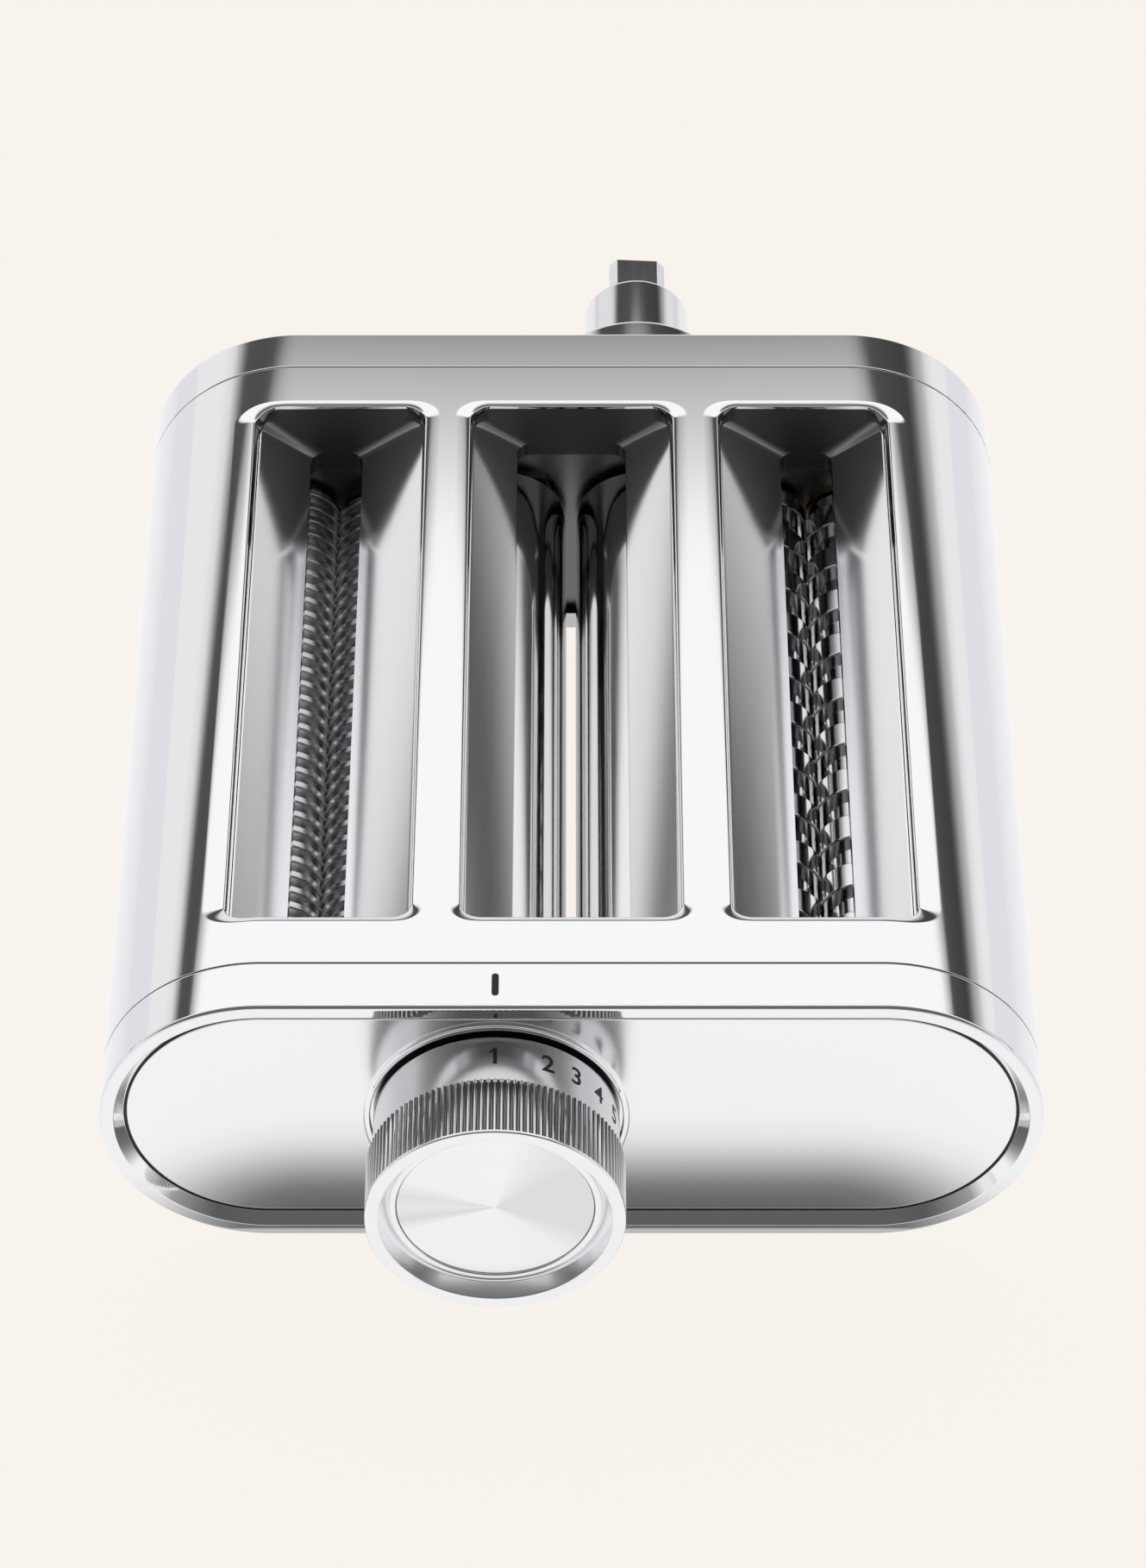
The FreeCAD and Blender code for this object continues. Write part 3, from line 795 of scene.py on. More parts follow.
@dataclass(frozen=True)
class Mouth:
    """A slot through the housing's top or underside.

    Attributes:
        left: Left wall.
        right: Right wall.
        below: Whether it is an exit slot in the underside.
        side_radius: Rounding of the rim along the sides.
        end_radius: Rounding of the rim at the ends.
        corner: Plan radius of the wall's corners.
        depth: Depth of the rim's flange.
        square: How far the rim's rounding is drawn out to its sharp corner.
        hold: Distance of the holding points from a corner.
        step_down: Height of the first row below the rounding.
    """

    left: float
    right: float
    below: bool = False
    side_radius: float = 4.2
    end_radius: float = 1.8
    corner: float = 4.0
    depth: float = 5.5
    square: float = 0.42
    hold: float = 0.4
    step_down: float = 0.25

    def plan(self, steps: int = 12, end_steps: int = 16) -> list[tuple[Vector, Vector]]:
        """Points of the wall in plan, each with the direction into the metal.

        Args:
            steps: Segments in each corner.
            end_steps: Segments across each end.

        Returns:
            Pairs of point and direction, in order round the slot.
        """
        pairs: list[tuple[Vector, Vector]] = []
        front, back = HOUSING.slot_front, HOUSING.slot_back
        centres = (
            (self.right - self.corner, back - self.corner, 0.0),
            (self.left + self.corner, back - self.corner, 90.0),
            (self.left + self.corner, front + self.corner, 180.0),
            (self.right - self.corner, front + self.corner, 270.0),
        )
        for index, (x, y, start) in enumerate(centres):
            for step in range(steps + 1):
                turn = math.radians(start + 90.0 * step / steps)
                way = Vector((math.cos(turn), math.sin(turn), 0.0))
                pairs.append((Vector((x, y, 0.0)) + way * self.corner, way))
            here, way = pairs[-1]
            x2, y2, start2 = centres[(index + 1) % 4]
            turn = math.radians(start2)
            there = Vector((x2, y2, 0.0)) + Vector((math.cos(turn), math.sin(turn), 0.0)) * self.corner
            run = there - here
            shares = [self.hold / run.length, 1 - self.hold / run.length]
            if index in (0, 2):
                shares += [step / end_steps for step in range(1, end_steps)]
            for share in sorted(shares):
                pairs.append((here + run * share, way.copy()))
        return pairs

    def radius(self, lean: float) -> float:
        """Rounding of the rim, which goes over from the sides to the ends.

        Args:
            lean: Share of the wall's normal along x.

        Returns:
            The radius.
        """
        return self.end_radius + (self.side_radius - self.end_radius) * lean * lean

    def rolled(self, skin: Vector, wall: Vector, radius: float, share: float) -> Vector:
        """A point of the rim's rounding, from the middle of its arc.

        Args:
            skin: Normal of the housing's skin.
            wall: Normal of the slot's wall.
            radius: Radius of the arc.
            share: Share of the way from the skin to the wall.

        Returns:
            The point.
        """
        arc = skin.slerp(wall, share) * radius
        sharp = (skin + wall) * (radius / (1.0 + skin.dot(wall)))
        return arc.lerp(sharp, self.square * math.sin(math.pi * share) ** 2)

    def rim(self, steps: int = 16, probe: float = 0.01) -> list[list[tuple[Vector, Vector]]]:
        """Rings of the rounded rim from the housing's skin down to the flange's edge.

        Args:
            steps: Segments round the rim's edge.
            probe: Share of the rounding that its slope is taken over, to each side.

        Returns:
            Rings of point and normal pairs, in millimetres.
        """
        rings: list[list[tuple[Vector, Vector]]] = [[] for _ in range(steps + 3)]
        up = -1.0 if self.below else 1.0
        for wall, way in self.plan():
            radius = self.radius(way.x)
            core = wall + way * radius
            skin = HOUSING.normal(core.x, radius)
            over = max(abs(core.x) - HOUSING.flat, 0.0)
            inner = HOUSING.radius - radius
            core.z = math.sqrt(inner * inner - over * over)
            for step in range(steps + 1):
                share = step / steps
                lean = skin.slerp(-way, share)
                if 0 < step < steps:
                    run = self.rolled(skin, -way, radius, share + probe)
                    run = run - self.rolled(skin, -way, radius, share - probe)
                    lean = (lean - run * (lean.dot(run) / run.length_squared)).normalized()
                rings[step].append((core + self.rolled(skin, -way, radius, share), lean))
            for extra, low in enumerate((core.z - self.step_down, HOUSING.radius - self.depth)):
                foot = Vector((wall.x, wall.y, min(low, core.z - self.step_down * (extra + 1))))
                rings[steps + 1 + extra].append((foot, -way))
        return [[(self.lift(point, up), self.tilt(lean, up)) for point, lean in ring] for ring in rings]

    def lift(self, point: Vector, up: float) -> Vector:
        """Puts a point above or below the housing's axis.

        Args:
            point: Point with its height measured from the axis.
            up: 1 for the top, -1 for the underside.

        Returns:
            The point in the part's frame.
        """
        return Vector((point.x, point.y, AXIS + up * point.z))

    def tilt(self, lean: Vector, up: float) -> Vector:
        """Turns a normal over with its point.

        Args:
            lean: Normal for the top.
            up: 1 for the top, -1 for the underside.

        Returns:
            The normal.
        """
        return Vector((lean.x, lean.y, lean.z * up))


@dataclass(frozen=True)
class Feed:
    """A feed slot with its hopper.

    Attributes:
        name: Name of its hopper's node.
        left: Left wall.
        right: Right wall.
        centre: Middle of the throat.
        throat: Width of the throat.
        throat_rise: Height of the throat's corner above the axis.
        lip_rise: Height of the lip's lower edge above the axis.
        exit_width: Width of the exit slot below.
        exit_radius: Rounding of the exit slot's rim.
    """

    name: str
    left: float
    right: float
    centre: float
    throat: float
    throat_rise: float
    lip_rise: float
    exit_width: float
    exit_radius: float = 3.0

    def mouths(self) -> tuple[Mouth, Mouth]:
        """The slot in the top and the one in the underside.

        Returns:
            The two mouths.
        """
        half = self.exit_width / 2
        below = Mouth(self.centre - half, self.centre + half, True, self.exit_radius, self.exit_radius)
        return Mouth(self.left, self.right), below


FEEDS = (
    Feed("fine_hopper", -71.9, -34.3, -54.4, 12.0, 20.6, 16.2, 26.0),
    Feed("sheet_hopper", -22.6, 22.6, 0.0, 25.0, 23.5, 20.2, 34.0),
    Feed("wide_hopper", 34.3, 71.9, 54.4, 12.0, 20.6, 16.2, 26.0),
)


@dataclass
class Sleeve:
    """The polished sleeve: an unrolled sheet with slot holes, rolled up, with rounded rims.

    Attributes:
        edge: Rounding of its end edges.
        edge_steps: Segments in that rounding.
        wall: Thickness of its sheet.
        bend_steps: Cuts along each bend.
        near: How near a vertex counts as on a cut.
    """

    edge: float = 0.3
    edge_steps: int = 6
    wall: float = 2.0
    bend_steps: int = 40
    near: float = 1e-5

    def arc_length(self, x: float, up: float) -> float:
        """Distance round the section from the middle of the top.

        Args:
            x: Place across the housing.
            up: 1 for the top, -1 for the underside.

        Returns:
            Signed distance in millimetres.
        """
        over = max(abs(x) - HOUSING.flat, 0.0)
        run = min(abs(x), HOUSING.flat) + HOUSING.radius * math.asin(min(over / HOUSING.radius, 1.0))
        half = 2 * HOUSING.flat + math.pi * HOUSING.radius
        return math.copysign(run, x) if up > 0 else half - math.copysign(run, x)

    def roll(self, run: float, along: float) -> tuple[Vector, Vector]:
        """Puts a point of the flat sheet on the rolled sleeve.

        Args:
            run: Distance round the section from the middle of the top.
            along: Station along y.

        Returns:
            The point and the outward normal there.
        """
        flat, bend = HOUSING.flat, math.pi * HOUSING.radius
        if run < -flat:
            spine, turn = -flat, (run + flat) / HOUSING.radius
        elif run < flat:
            spine, turn = run, 0.0
        elif run < flat + bend:
            spine, turn = flat, (run - flat) / HOUSING.radius
        elif run < 3 * flat + bend:
            spine, turn = 2 * flat + bend - run, math.pi
        else:
            spine, turn = -flat, math.pi + (run - 3 * flat - bend) / HOUSING.radius
        lean = Vector((math.sin(turn), 0.0, math.cos(turn)))
        return Vector((spine, along, AXIS)) + lean * HOUSING.radius, lean

    def sheet(self, skin: Skin, mouths: Sequence[Mouth], lean: Lean) -> None:
        """Fills the unrolled sheet round its holes, cuts it along the bends and rolls it up.

        Args:
            skin: The mesh to add to.
            mouths: The slots through it.
            lean: Layer that keeps each vertex's normal.
        """
        flat, bend = HOUSING.flat, math.pi * HOUSING.radius
        front, back = HOUSING.sleeve_front + self.edge, HOUSING.sleeve_back - self.edge
        low, high = -flat - bend / 2, 3 * flat + 1.5 * bend
        loops = [[(low, front), (high, front), (high, back), (low, back)]]
        for mouth in mouths:
            up = -1.0 if mouth.below else 1.0
            loops.append([(self.arc_length(point.x, up), point.y) for point, _ in mouth.rim()[0]])
        rings = [skin.ring(Vector((run, along, 0.0)) for run, along in loop) for loop in loops]
        skin.fill(*rings)
        for start, reach in ((low, bend / 2), (flat, bend), (3 * flat + bend, bend / 2)):
            for step in range(self.bend_steps + 1):
                skin.cut(start + reach * step / self.bend_steps, self.near)
        for vert in skin.bm.verts:
            point, normal = self.roll(vert.co.x, vert.co.y)
            vert.co = point * MM
            vert[lean] = normal

    def rims(self, skin: Skin, mouths: Sequence[Mouth], lean: Lean) -> None:
        """Grows the rounded rim of each slot.

        Args:
            skin: The mesh to add to.
            mouths: The slots.
            lean: Layer that keeps each vertex's normal.
        """
        for mouth in mouths:
            grown = None
            for ring in mouth.rim():
                points = [point * MM for point, _ in ring]
                grown = skin.ring(points) if grown is None else skin.grow(grown, points)
                for vert, (_, normal) in zip(grown, ring):
                    vert[lean] = normal

    def ends(self, skin: Skin, lean: Lean) -> None:
        """Rounds the sleeve's two end edges in to its inner wall.

        Args:
            skin: The mesh to add to.
            lean: Layer that keeps each vertex's normal.
        """
        section = HOUSING.section()
        for end, way in ((HOUSING.sleeve_front, 1.0), (HOUSING.sleeve_back, -1.0)):
            ring = None
            for step in range(self.edge_steps + 1):
                turn = math.pi / 2 * step / self.edge_steps
                out = HOUSING.radius - self.edge * (1 - math.cos(turn))
                along = end + way * self.edge * (1 - math.sin(turn))
                points = section.ring(out, along)
                ring = skin.ring(points) if ring is None else skin.grow(ring, points)
                self.keep(ring, lean, math.cos(turn), -way * math.sin(turn))
            ring = skin.grow(ring, section.ring(HOUSING.radius - self.wall, end))
            self.keep(ring, lean, 0.0, -way)

    def keep(self, ring: Ring, lean: Lean, out: float, along: float) -> None:
        """Keeps the normals of a ring round the section.

        Args:
            ring: The ring's vertices.
            lean: Layer that keeps each vertex's normal.
            out: The normal's share out from the spine.
            along: The normal's share along y.
        """
        for vert in ring:
            place = vert.co / MM
            spine = max(-HOUSING.flat, min(HOUSING.flat, place.x))
            away = Vector((place.x - spine, 0.0, place.z - AXIS)).normalized()
            vert[lean] = away * out + Vector((0.0, along, 0.0))

    def build(self) -> None:
        """Builds and dresses the sleeve."""
        skin = Skin()
        lean = skin.bm.verts.layers.float_vector.new("lean")
        mouths = [mouth for feed in FEEDS for mouth in feed.mouths()]
        self.sheet(skin, mouths, lean)
        self.rims(skin, mouths, lean)
        self.ends(skin, lean)
        for face in skin.bm.faces:
            face.normal_update()
            want = sum((vert[lean] for vert in face.verts), Vector())
            if face.normal.dot(want) < 0.0:
                face.normal_flip()
            face.smooth = True
        mesh = bpy.data.meshes.new("sleeve")
        normals = [vert[lean].normalized() for vert in skin.bm.verts]
        skin.bm.to_mesh(mesh)
        skin.bm.free()
        mesh.normals_split_custom_set_from_vertices(normals)
        mesh.attributes.remove(mesh.attributes["lean"])
        dress(place_mesh("sleeve", mesh, POLISHED), Body.HOUSING, Slot.POLISHED, "outer_sleeve")


@dataclass
class EndCap:
    """An end cap with its recessed fascia.

    Attributes:
        name: Name of the cap's node.
        fascia: Name of the fascia's node.
        outer: Station of the cap's outer face.
        inner: Station where it meets the sleeve.
        hole_x: Axis of the hole in the fascia.
        hole_radius: Radius of that hole.
        edge: Rounding of the outer edge.
        seam: Rounding of the edge towards the sleeve.
        seam_shade_depth: Depth of the dark strip of painted shade in the seam, below the skin.
        seam_shade_half: Half width of that strip of painted shade.
        rim: Width of the flat rim.
        taper: Width of the slope inside the rim.
        recess: Depth of the fascia below the rim.
        thickness: Thickness of the fascia.
        groove: Gap round the fascia.
        groove_shade_depth: Depth of the dark strip of painted shade in the groove round the fascia, below the
            fascia's face.
        set_in: How far the cap stays inside the housing's outline.
    """

    name: str
    fascia: str
    outer: float
    inner: float
    hole_x: float
    hole_radius: float
    edge: float = 0.8
    seam: float = 0.35
    seam_shade_depth: float = 0.06
    seam_shade_half: float = 0.4
    rim: float = 3.0
    taper: float = 2.1
    recess: float = 2.3
    thickness: float = 2.0
    groove: float = 0.6
    groove_shade_depth: float = 0.5
    set_in: float = 0.012

    def build(self) -> None:
        """Builds and dresses the cap, its fascia and the dark strips of painted shade in its groove and its
        seam.
        """
        way = 1.0 if self.inner > self.outer else -1.0
        radius = HOUSING.radius - self.set_in
        floor = radius - self.rim - self.taper
        foot = self.outer + way * (self.recess + self.thickness)
        corners = [
            Corner(radius - 2.0, self.inner),
            Corner(radius, self.inner, self.seam),
            Corner(radius, self.outer, self.edge),
            Corner(radius - self.rim, self.outer, 0.3),
            Corner(floor, self.outer + way * self.recess, 0.15),
            Corner(floor, foot),
            Corner(floor - 3.0, foot),
        ]
        skin = Skin()
        skin.sweep(HOUSING.section(), rounded(corners))
        dress(skin.piece(self.name + "_shell", POLISHED), Body.HOUSING, Slot.POLISHED, self.name)
        self.plate(way, floor - self.groove)
        # Painted shade: a dark strip laid in the groove round the fascia.
        place = self.outer + way * (self.recess + self.groove_shade_depth)
        self.strip("_painted_groove_shade", [(floor + 0.01, place), (floor - 0.8, place)])
        # Painted shade: a dark strip laid in the seam between the cap and the sleeve.
        depth = HOUSING.radius - self.seam_shade_depth
        self.strip("_seam_painted_shade", [(depth, self.inner - self.seam_shade_half), (depth, self.inner + self.seam_shade_half)])

    def strip(self, ending: str, outline: Sequence[Plan]) -> None:
        """Builds a dark strip of painted shade round the housing's section.

        Args:
            ending: What its name adds to the cap's.
            outline: Its two edges as (out, along) pairs.
        """
        skin = Skin()
        skin.sweep(HOUSING.section(), outline)
        dress(skin.piece(self.name + ending, INK_AND_PAINTED_SHADE), Body.HOUSING, Slot.FRAME)

    def plate(self, way: float, out: float) -> None:
        """Builds the fascia: a flat plate with a softened edge and one round hole.

        Args:
            way: Direction from the outer face inwards along y.
            out: The plate's outline, out from the spine.
        """
        face = self.outer + way * self.recess
        skin = Skin()
        rim = skin.sweep(HOUSING.section(), rounded([
            Corner(out, face + way * self.thickness),
            Corner(out, face, 0.3),
            Corner(out - 1.0, face),
        ]))
        bore = Section(x=self.hole_x)
        hole = skin.ring(bore.ring(self.hole_radius, face))
        skin.fill(rim, hole)
        skin.grow(hole, bore.ring(self.hole_radius, face + way * self.thickness))
        dress(skin.piece(self.fascia + "_plate", FASCIA), Body.HOUSING, Slot.FASCIA, self.fascia)


@dataclass
class Hopper:
    """A feed funnel of two ramps between upright ends.

    Attributes:
        feed: The slot it sits under.
        wall: Thickness of its sheet.
        bend: Rounding of the throat's corner.
        top_corner: Plan radius at the top.
        throat_corner: Plan radius at the throat.
        top: Height of the ramps' upper edge above the axis.
        low_top: Its least height, where the housing's skin falls away.
        lap: Share of the rim's rounding that it laps at the ends.
        gap: Clearance from the slot's walls.
        hold: Distance of the holding points from a corner.
        held: Share of the ramp where a ring holds its upper edge.
    """

    feed: Feed
    wall: float = 1.4
    bend: float = 1.0
    top_corner: float = 4.0
    throat_corner: float = 3.4
    top: float = 30.6
    low_top: float = 29.6
    lap: float = 0.45
    gap: float = 0.02
    hold: float = 0.3
    held: float = 0.97

    def crest(self, x: float, lean: float) -> float:
        """Height above the axis where the hopper meets the slot's rim, which it laps at the ends.

        Args:
            x: Place across the housing.
            lean: Share of the wall's normal along x.

        Returns:
            The height.
        """
        radius = Mouth(self.feed.left, self.feed.right).radius(lean)
        over = max(abs(x + lean * radius) - HOUSING.flat, 0.0)
        lap = self.lap * radius * (1.0 - lean * lean)
        return math.sqrt((HOUSING.radius - radius) ** 2 - over * over) - 0.1 + lap

    def outline(self, left: float, right: float, corner: float, rise: float, grow: float = 0.0,
                drop: float | None = None) -> list[Vector]:
        """A rounded rectangle at one height, or that far below the rim.

        Args:
            left: Left side.
            right: Right side.
            corner: Plan radius of its corners.
            rise: Height above the axis.
            grow: How far it is set out all round.
            drop: Depth below the rim, which caps the height where it is given.

        Returns:
            Points in metres.
        """
        front, back = HOUSING.slot_front + self.gap - grow, HOUSING.slot_back - self.gap + grow
        left, right = left - grow, right + grow
        points = []
        for x, y, start in (
            (right - corner, back - corner, 0.0),
            (left + corner, back - corner, 90.0),
            (left + corner, front + corner, 180.0),
            (right - corner, front + corner, 270.0),
        ):
            held = Vector((math.cos(math.radians(start)), math.sin(math.radians(start))))
            across = Vector((held.y, -held.x))
            turns = [math.radians(start + 90.0 * step / 10) for step in range(11)]
            arc = [Vector((math.cos(turn), math.sin(turn))) * corner for turn in turns]
            arc.insert(0, held * corner + across * self.hold)
            arc.append(Vector((-held.y, held.x)) * corner + Vector((-across.y, across.x)) * -self.hold)
            for p in arc:
                high = rise
                if drop is not None:
                    high = min(rise, max(self.crest(x + p.x, p.x / p.length) - drop, self.low_top))
                points.append(Vector((x + p.x, y + p.y, AXIS + high)) * MM)
        return points

    def build(self) -> None:
        """Builds and dresses the hopper."""
        feed = self.feed
        half = feed.throat / 2
        near, far = feed.left + self.gap, feed.right - self.gap
        left, right = feed.centre - half, feed.centre + half
        stations = rounded([
            Corner(1.0, self.top),
            Corner(0.0, feed.throat_rise, self.bend),
            Corner(0.0, feed.lip_rise),
        ], 8)
        drawn = stations[0][1] - feed.throat_rise
        stations.insert(1, (self.held, stations[0][1] - (1.0 - self.held) * drawn))
        skin = Skin()
        ring = skin.ring(self.outline(near, far, self.top_corner, HOUSING.radius, 0.0, 0.0))
        for share, rise in stations:
            corner = self.throat_corner + (self.top_corner - self.throat_corner) * share
            sides = left + (near - left) * share, right + (far - right) * share
            ring = skin.grow(ring, self.outline(*sides, corner, rise, 0.0, 0.2))
        for rise in (feed.lip_rise, feed.throat_rise - 1.0):
            ring = skin.grow(ring, self.outline(left, right, self.throat_corner + self.wall, rise, self.wall))
        for below in (1.5, 0.2):
            rise = self.low_top - below
            ring = skin.grow(ring, self.outline(feed.left, feed.right, self.top_corner, rise, self.wall))
        dress(skin.piece(feed.name + "_funnel", HOPPER), Body.HOUSING, Slot.POLISHED, feed.name)


@dataclass
class Roller:
    """A plain sheet roller.

    Attributes:
        node: Name of its CAD node.
        body: The body it turns with.
        x: Its axis.
        radius: Its radius.
        axle: Radius of its axle ends.
    """

    node: str
    body: Body
    x: float
    radius: float = 14.8
    axle: float = 6.0

    def build(self) -> None:
        """Builds and dresses the roller with its axle ends."""
        low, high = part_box(self.node)
        outline = rounded([
            Corner(0.0, low.y / MM),
            Corner(self.axle, low.y / MM, 0.5),
            Corner(self.axle, CUTTERS_FRONT),
            Corner(self.radius, CUTTERS_FRONT, 0.8),
            Corner(self.radius, CUTTERS_BACK, 0.8),
            Corner(self.axle, CUTTERS_BACK),
            Corner(self.axle, high.y / MM, 0.5),
            Corner(0.0, high.y / MM),
        ])
        piece = turned(self.node + "_turned", ROLLER, self.x, outline, 144)
        dress(piece, self.body, Slot.ROLLER, self.node)


@dataclass
class RingCutter:
    """A shaft of rings that mesh with the grooves of its partner.

    Attributes:
        node: Name of its CAD node.
        body: The body it turns with.
        x: Its axis.
        pitch: Distance between rings.
        starts_low: Whether it starts with a groove.
        finish: The finish it takes.
        radius: Radius of the rings.
        mesh_depth: How deep the partner's rings reach in.
        root_clearance: Clearance below the partner's rings.
        side_clearance: Clearance beside the partner's rings.
        edge: Rounding of the rings' edges.
        axle: Radius of its axle ends.
    """

    node: str
    body: Body
    x: float
    pitch: float
    starts_low: bool
    finish: Finish
    radius: float = 10.0
    mesh_depth: float = 1.6
    root_clearance: float = 0.4
    side_clearance: float = 0.25
    edge: float = 0.40
    axle: float = 5.0

    def build(self) -> None:
        """Builds and dresses the cutter."""
        low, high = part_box(self.node)
        front, back = CUTTERS_FRONT, CUTTERS_BACK
        root = self.radius - self.mesh_depth - self.root_clearance
        corners = [Corner(0.0, low.y / MM), Corner(self.axle, low.y / MM, 0.4), Corner(self.axle, front)]
        gap = self.side_clearance / 2
        along, high_ring = front, not self.starts_low
        while along < back - 1e-6:
            end = min(along + self.pitch / 2, back)
            if high_ring:
                first = along + (gap if along > front else 0.0)
                last = end - (gap if end < back else 0.0)
                corners += [Corner(root, first), Corner(self.radius, first, self.edge)]
                corners += [Corner(self.radius, last, self.edge), Corner(root, last)]
            elif along <= front:
                corners.append(Corner(root, along))
            elif end >= back:
                corners.append(Corner(root, end))
            along, high_ring = end, not high_ring
        corners += [Corner(self.axle, back), Corner(self.axle, high.y / MM, 0.4), Corner(0.0, high.y / MM)]
        piece = turned(self.node + "_rings", self.finish, self.x, rounded(corners, 4, 0.06), 96)
        dress(piece, self.body, Slot.CUTTER, self.node)


@dataclass
class Dial:
    """The thickness dial: bezel, knurled knob with its number band, and face disc.

    Attributes:
        front: Front of the knob.
        back: Back of the knob.
        bezel_front: Front of the bezel.
        fascia: The fascia's face.
        bezel_radius: Radius of the bezel.
        bezel_bore: Radius of its bore.
        spindle: Radius left open for the spindle.
        knurl: Radius over the knurl.
        knurl_back: Back of the knurl.
        flutes: Number of flutes.
        flute_depth: Depth of a flute.
        flute_wave: Depth across one ridge and flute, as shares.
        lip: Width of the plain rim before the knurl.
        band: Radius of the number band.
        dish: Radius where the face's dish starts.
        ring: Radius of the raised ring in the dish.
        ring_height: Height of that ring.
        disc: Radius of the disc.
        disc_rise: Height of the disc above the dish's floor.
        depth: Depth of the dish.
        steps: Segments in a full turn.
        marks: The numbers with their turns in degrees.
        mark_height: Height of a number.
        mark_weight: How far its strokes are set out.
        mark_place: Station of the numbers.
        mark_lift: Height of the numbers above the band.
        cap_share: Height of a figure as a share of the font's size.
        flag: Width, drop and thickness of the flag on the figure 1.
        cut: Distance between the cuts that let a number bend.
    """

    front: float = -154.65
    back: float = -126.85
    bezel_front: float = -125.95
    fascia: float = -125.05
    bezel_radius: float = 28.0
    bezel_bore: float = 26.6
    spindle: float = 8.2
    knurl: float = 27.05
    knurl_back: float = -139.35
    flutes: int = 122
    flute_depth: float = 0.5
    flute_wave: tuple[float, ...] = (0.0, 0.0, 0.35, 0.85, 1.0, 1.0, 0.85, 0.35)
    lip: float = 0.75
    band: float = 25.9
    dish: float = 24.3
    ring: float = 22.2
    ring_height: float = 1.2
    disc: float = 20.5
    disc_rise: float = 0.75
    depth: float = 4.5
    steps: int = 160
    marks: tuple[tuple[str, float], ...] = (
        ("1", 0.0), ("2", 25.0), ("3", 40.5), ("4", 56.0), ("5", 72.0), ("6", 88.5), ("7", 105.0), ("8", 121.0),
    )
    mark_height: float = 4.4
    mark_weight: float = 0.09
    mark_place: float = -132.5
    mark_lift: float = 0.025
    cap_share: float = 0.7
    flag: tuple[float, float, float] = (1.2, 0.85, 0.6)
    cut: float = 0.25

    def bezel(self) -> None:
        """Builds the polished ring on the fascia round the knob's back, and the dark painted shade in its well.
        """
        ring = rounded([
            Corner(self.bezel_radius, self.fascia + 0.3),
            Corner(self.bezel_radius, self.bezel_front, 0.45),
            Corner(self.bezel_bore, self.bezel_front, 0.25),
            Corner(self.bezel_bore, self.bezel_front + 0.5),
        ])
        piece = turned("dial_bezel_ring", POLISHED, DIAL_X, ring, self.steps)
        dress(piece, Body.HOUSING, Slot.POLISHED, "dial_bezel")
        # Painted shade: the well's wall and floor are dark, standing in for the shade deep in the gap.
        well = rounded([
            Corner(self.bezel_bore, self.bezel_front + 0.3),
            Corner(self.bezel_bore, self.fascia + 0.2),
            Corner(self.spindle, self.fascia + 0.2),
        ])
        dress(turned("dial_bezel_painted_shade", INK_AND_PAINTED_SHADE, DIAL_X, well, 96), Body.HOUSING, Slot.FRAME)

    def fluted(self, out: float, along: float, share: float) -> list[Vector]:
        """A ring of the knurl.

        Args:
            out: Radius over the ridges.
            along: Station along y.
            share: How deep the flutes are there, from 0 to 1.

        Returns:
            Points in metres.
        """
        wave = self.flute_wave
        count = self.flutes * len(wave)
        points = []
        for step in range(count):
            turn = math.tau * step / count
            radius = out - self.flute_depth * share * wave[step % len(wave)]
            x, z = DIAL_X + math.sin(turn) * radius, AXIS + math.cos(turn) * radius
            points.append(Vector((x, along, z)) * MM)
        return points

    def grip(self) -> None:
        """Builds the knurl."""
        lip, back = self.front + self.lip, self.knurl_back
        rows = (
            (self.band - 0.2, back, 0.0), (self.knurl - 0.35, back, 0.6), (self.knurl - 0.05, back - 0.2, 1.0),
            (self.knurl, back - 0.5, 1.0), (self.knurl, lip + 0.3, 1.0), (self.knurl, lip + 0.05, 0.4),
            (self.knurl, lip, 0.0),
        )
        skin = Skin()
        ring = skin.ring(self.fluted(*rows[0]))
        for row in rows[1:]:
            ring = skin.grow(ring, self.fluted(*row))
        dress(skin.piece("dial_knurl", KNURL), Body.KNOB, Slot.POLISHED, "dial_knob")

    def knob(self) -> None:
        """Builds the plain turned surfaces of the knob, with its back face dark with painted shade."""
        floor = self.front + self.depth
        face = rounded([
            Corner(self.knurl, self.front + self.lip),
            Corner(self.knurl, self.front, 0.6),
            Corner(self.dish, self.front, 0.25),
            Corner(self.ring + 0.2, floor, 0.2),
            Corner(self.ring, floor, 0.08),
            Corner(self.ring - 0.1, floor - self.ring_height, 0.55),
            Corner(self.disc + 0.12, floor - self.ring_height, 0.45),
            Corner(self.disc + 0.12, floor),
        ])
        dress(turned("dial_face_ring", RIM, DIAL_X, face, self.steps), Body.KNOB, Slot.POLISHED)
        barrel = rounded([
            Corner(self.band, self.knurl_back - 0.1),
            Corner(self.band, self.back, 0.3),
            Corner(self.band - 0.8, self.back),
        ])
        dress(turned("dial_number_band", BAND, DIAL_X, barrel, self.steps), Body.KNOB, Slot.POLISHED)
        # Painted shade: the knob's back face is dark, standing in for the shade in the gap behind the band.
        back = [(self.band - 0.75, self.back + 0.01), (8.5, self.back + 0.01)]
        dress(turned("dial_back_painted_shade", INK_AND_PAINTED_SHADE, DIAL_X, back, 96), Body.KNOB, Slot.POLISHED)

    def face_disc(self) -> None:
        """Builds the disc in the knob's face, brushed in circles."""
        floor = self.front + self.depth - self.disc_rise
        outline = rounded([
            Corner(self.disc, floor + 0.6),
            Corner(self.disc, floor, 0.15),
            Corner(0.0, floor),
        ])
        piece = turned("dial_face_disc", DISC, DIAL_X, outline, self.steps)
        dress(piece, Body.KNOB, Slot.BRUSHED, "dial_disc")

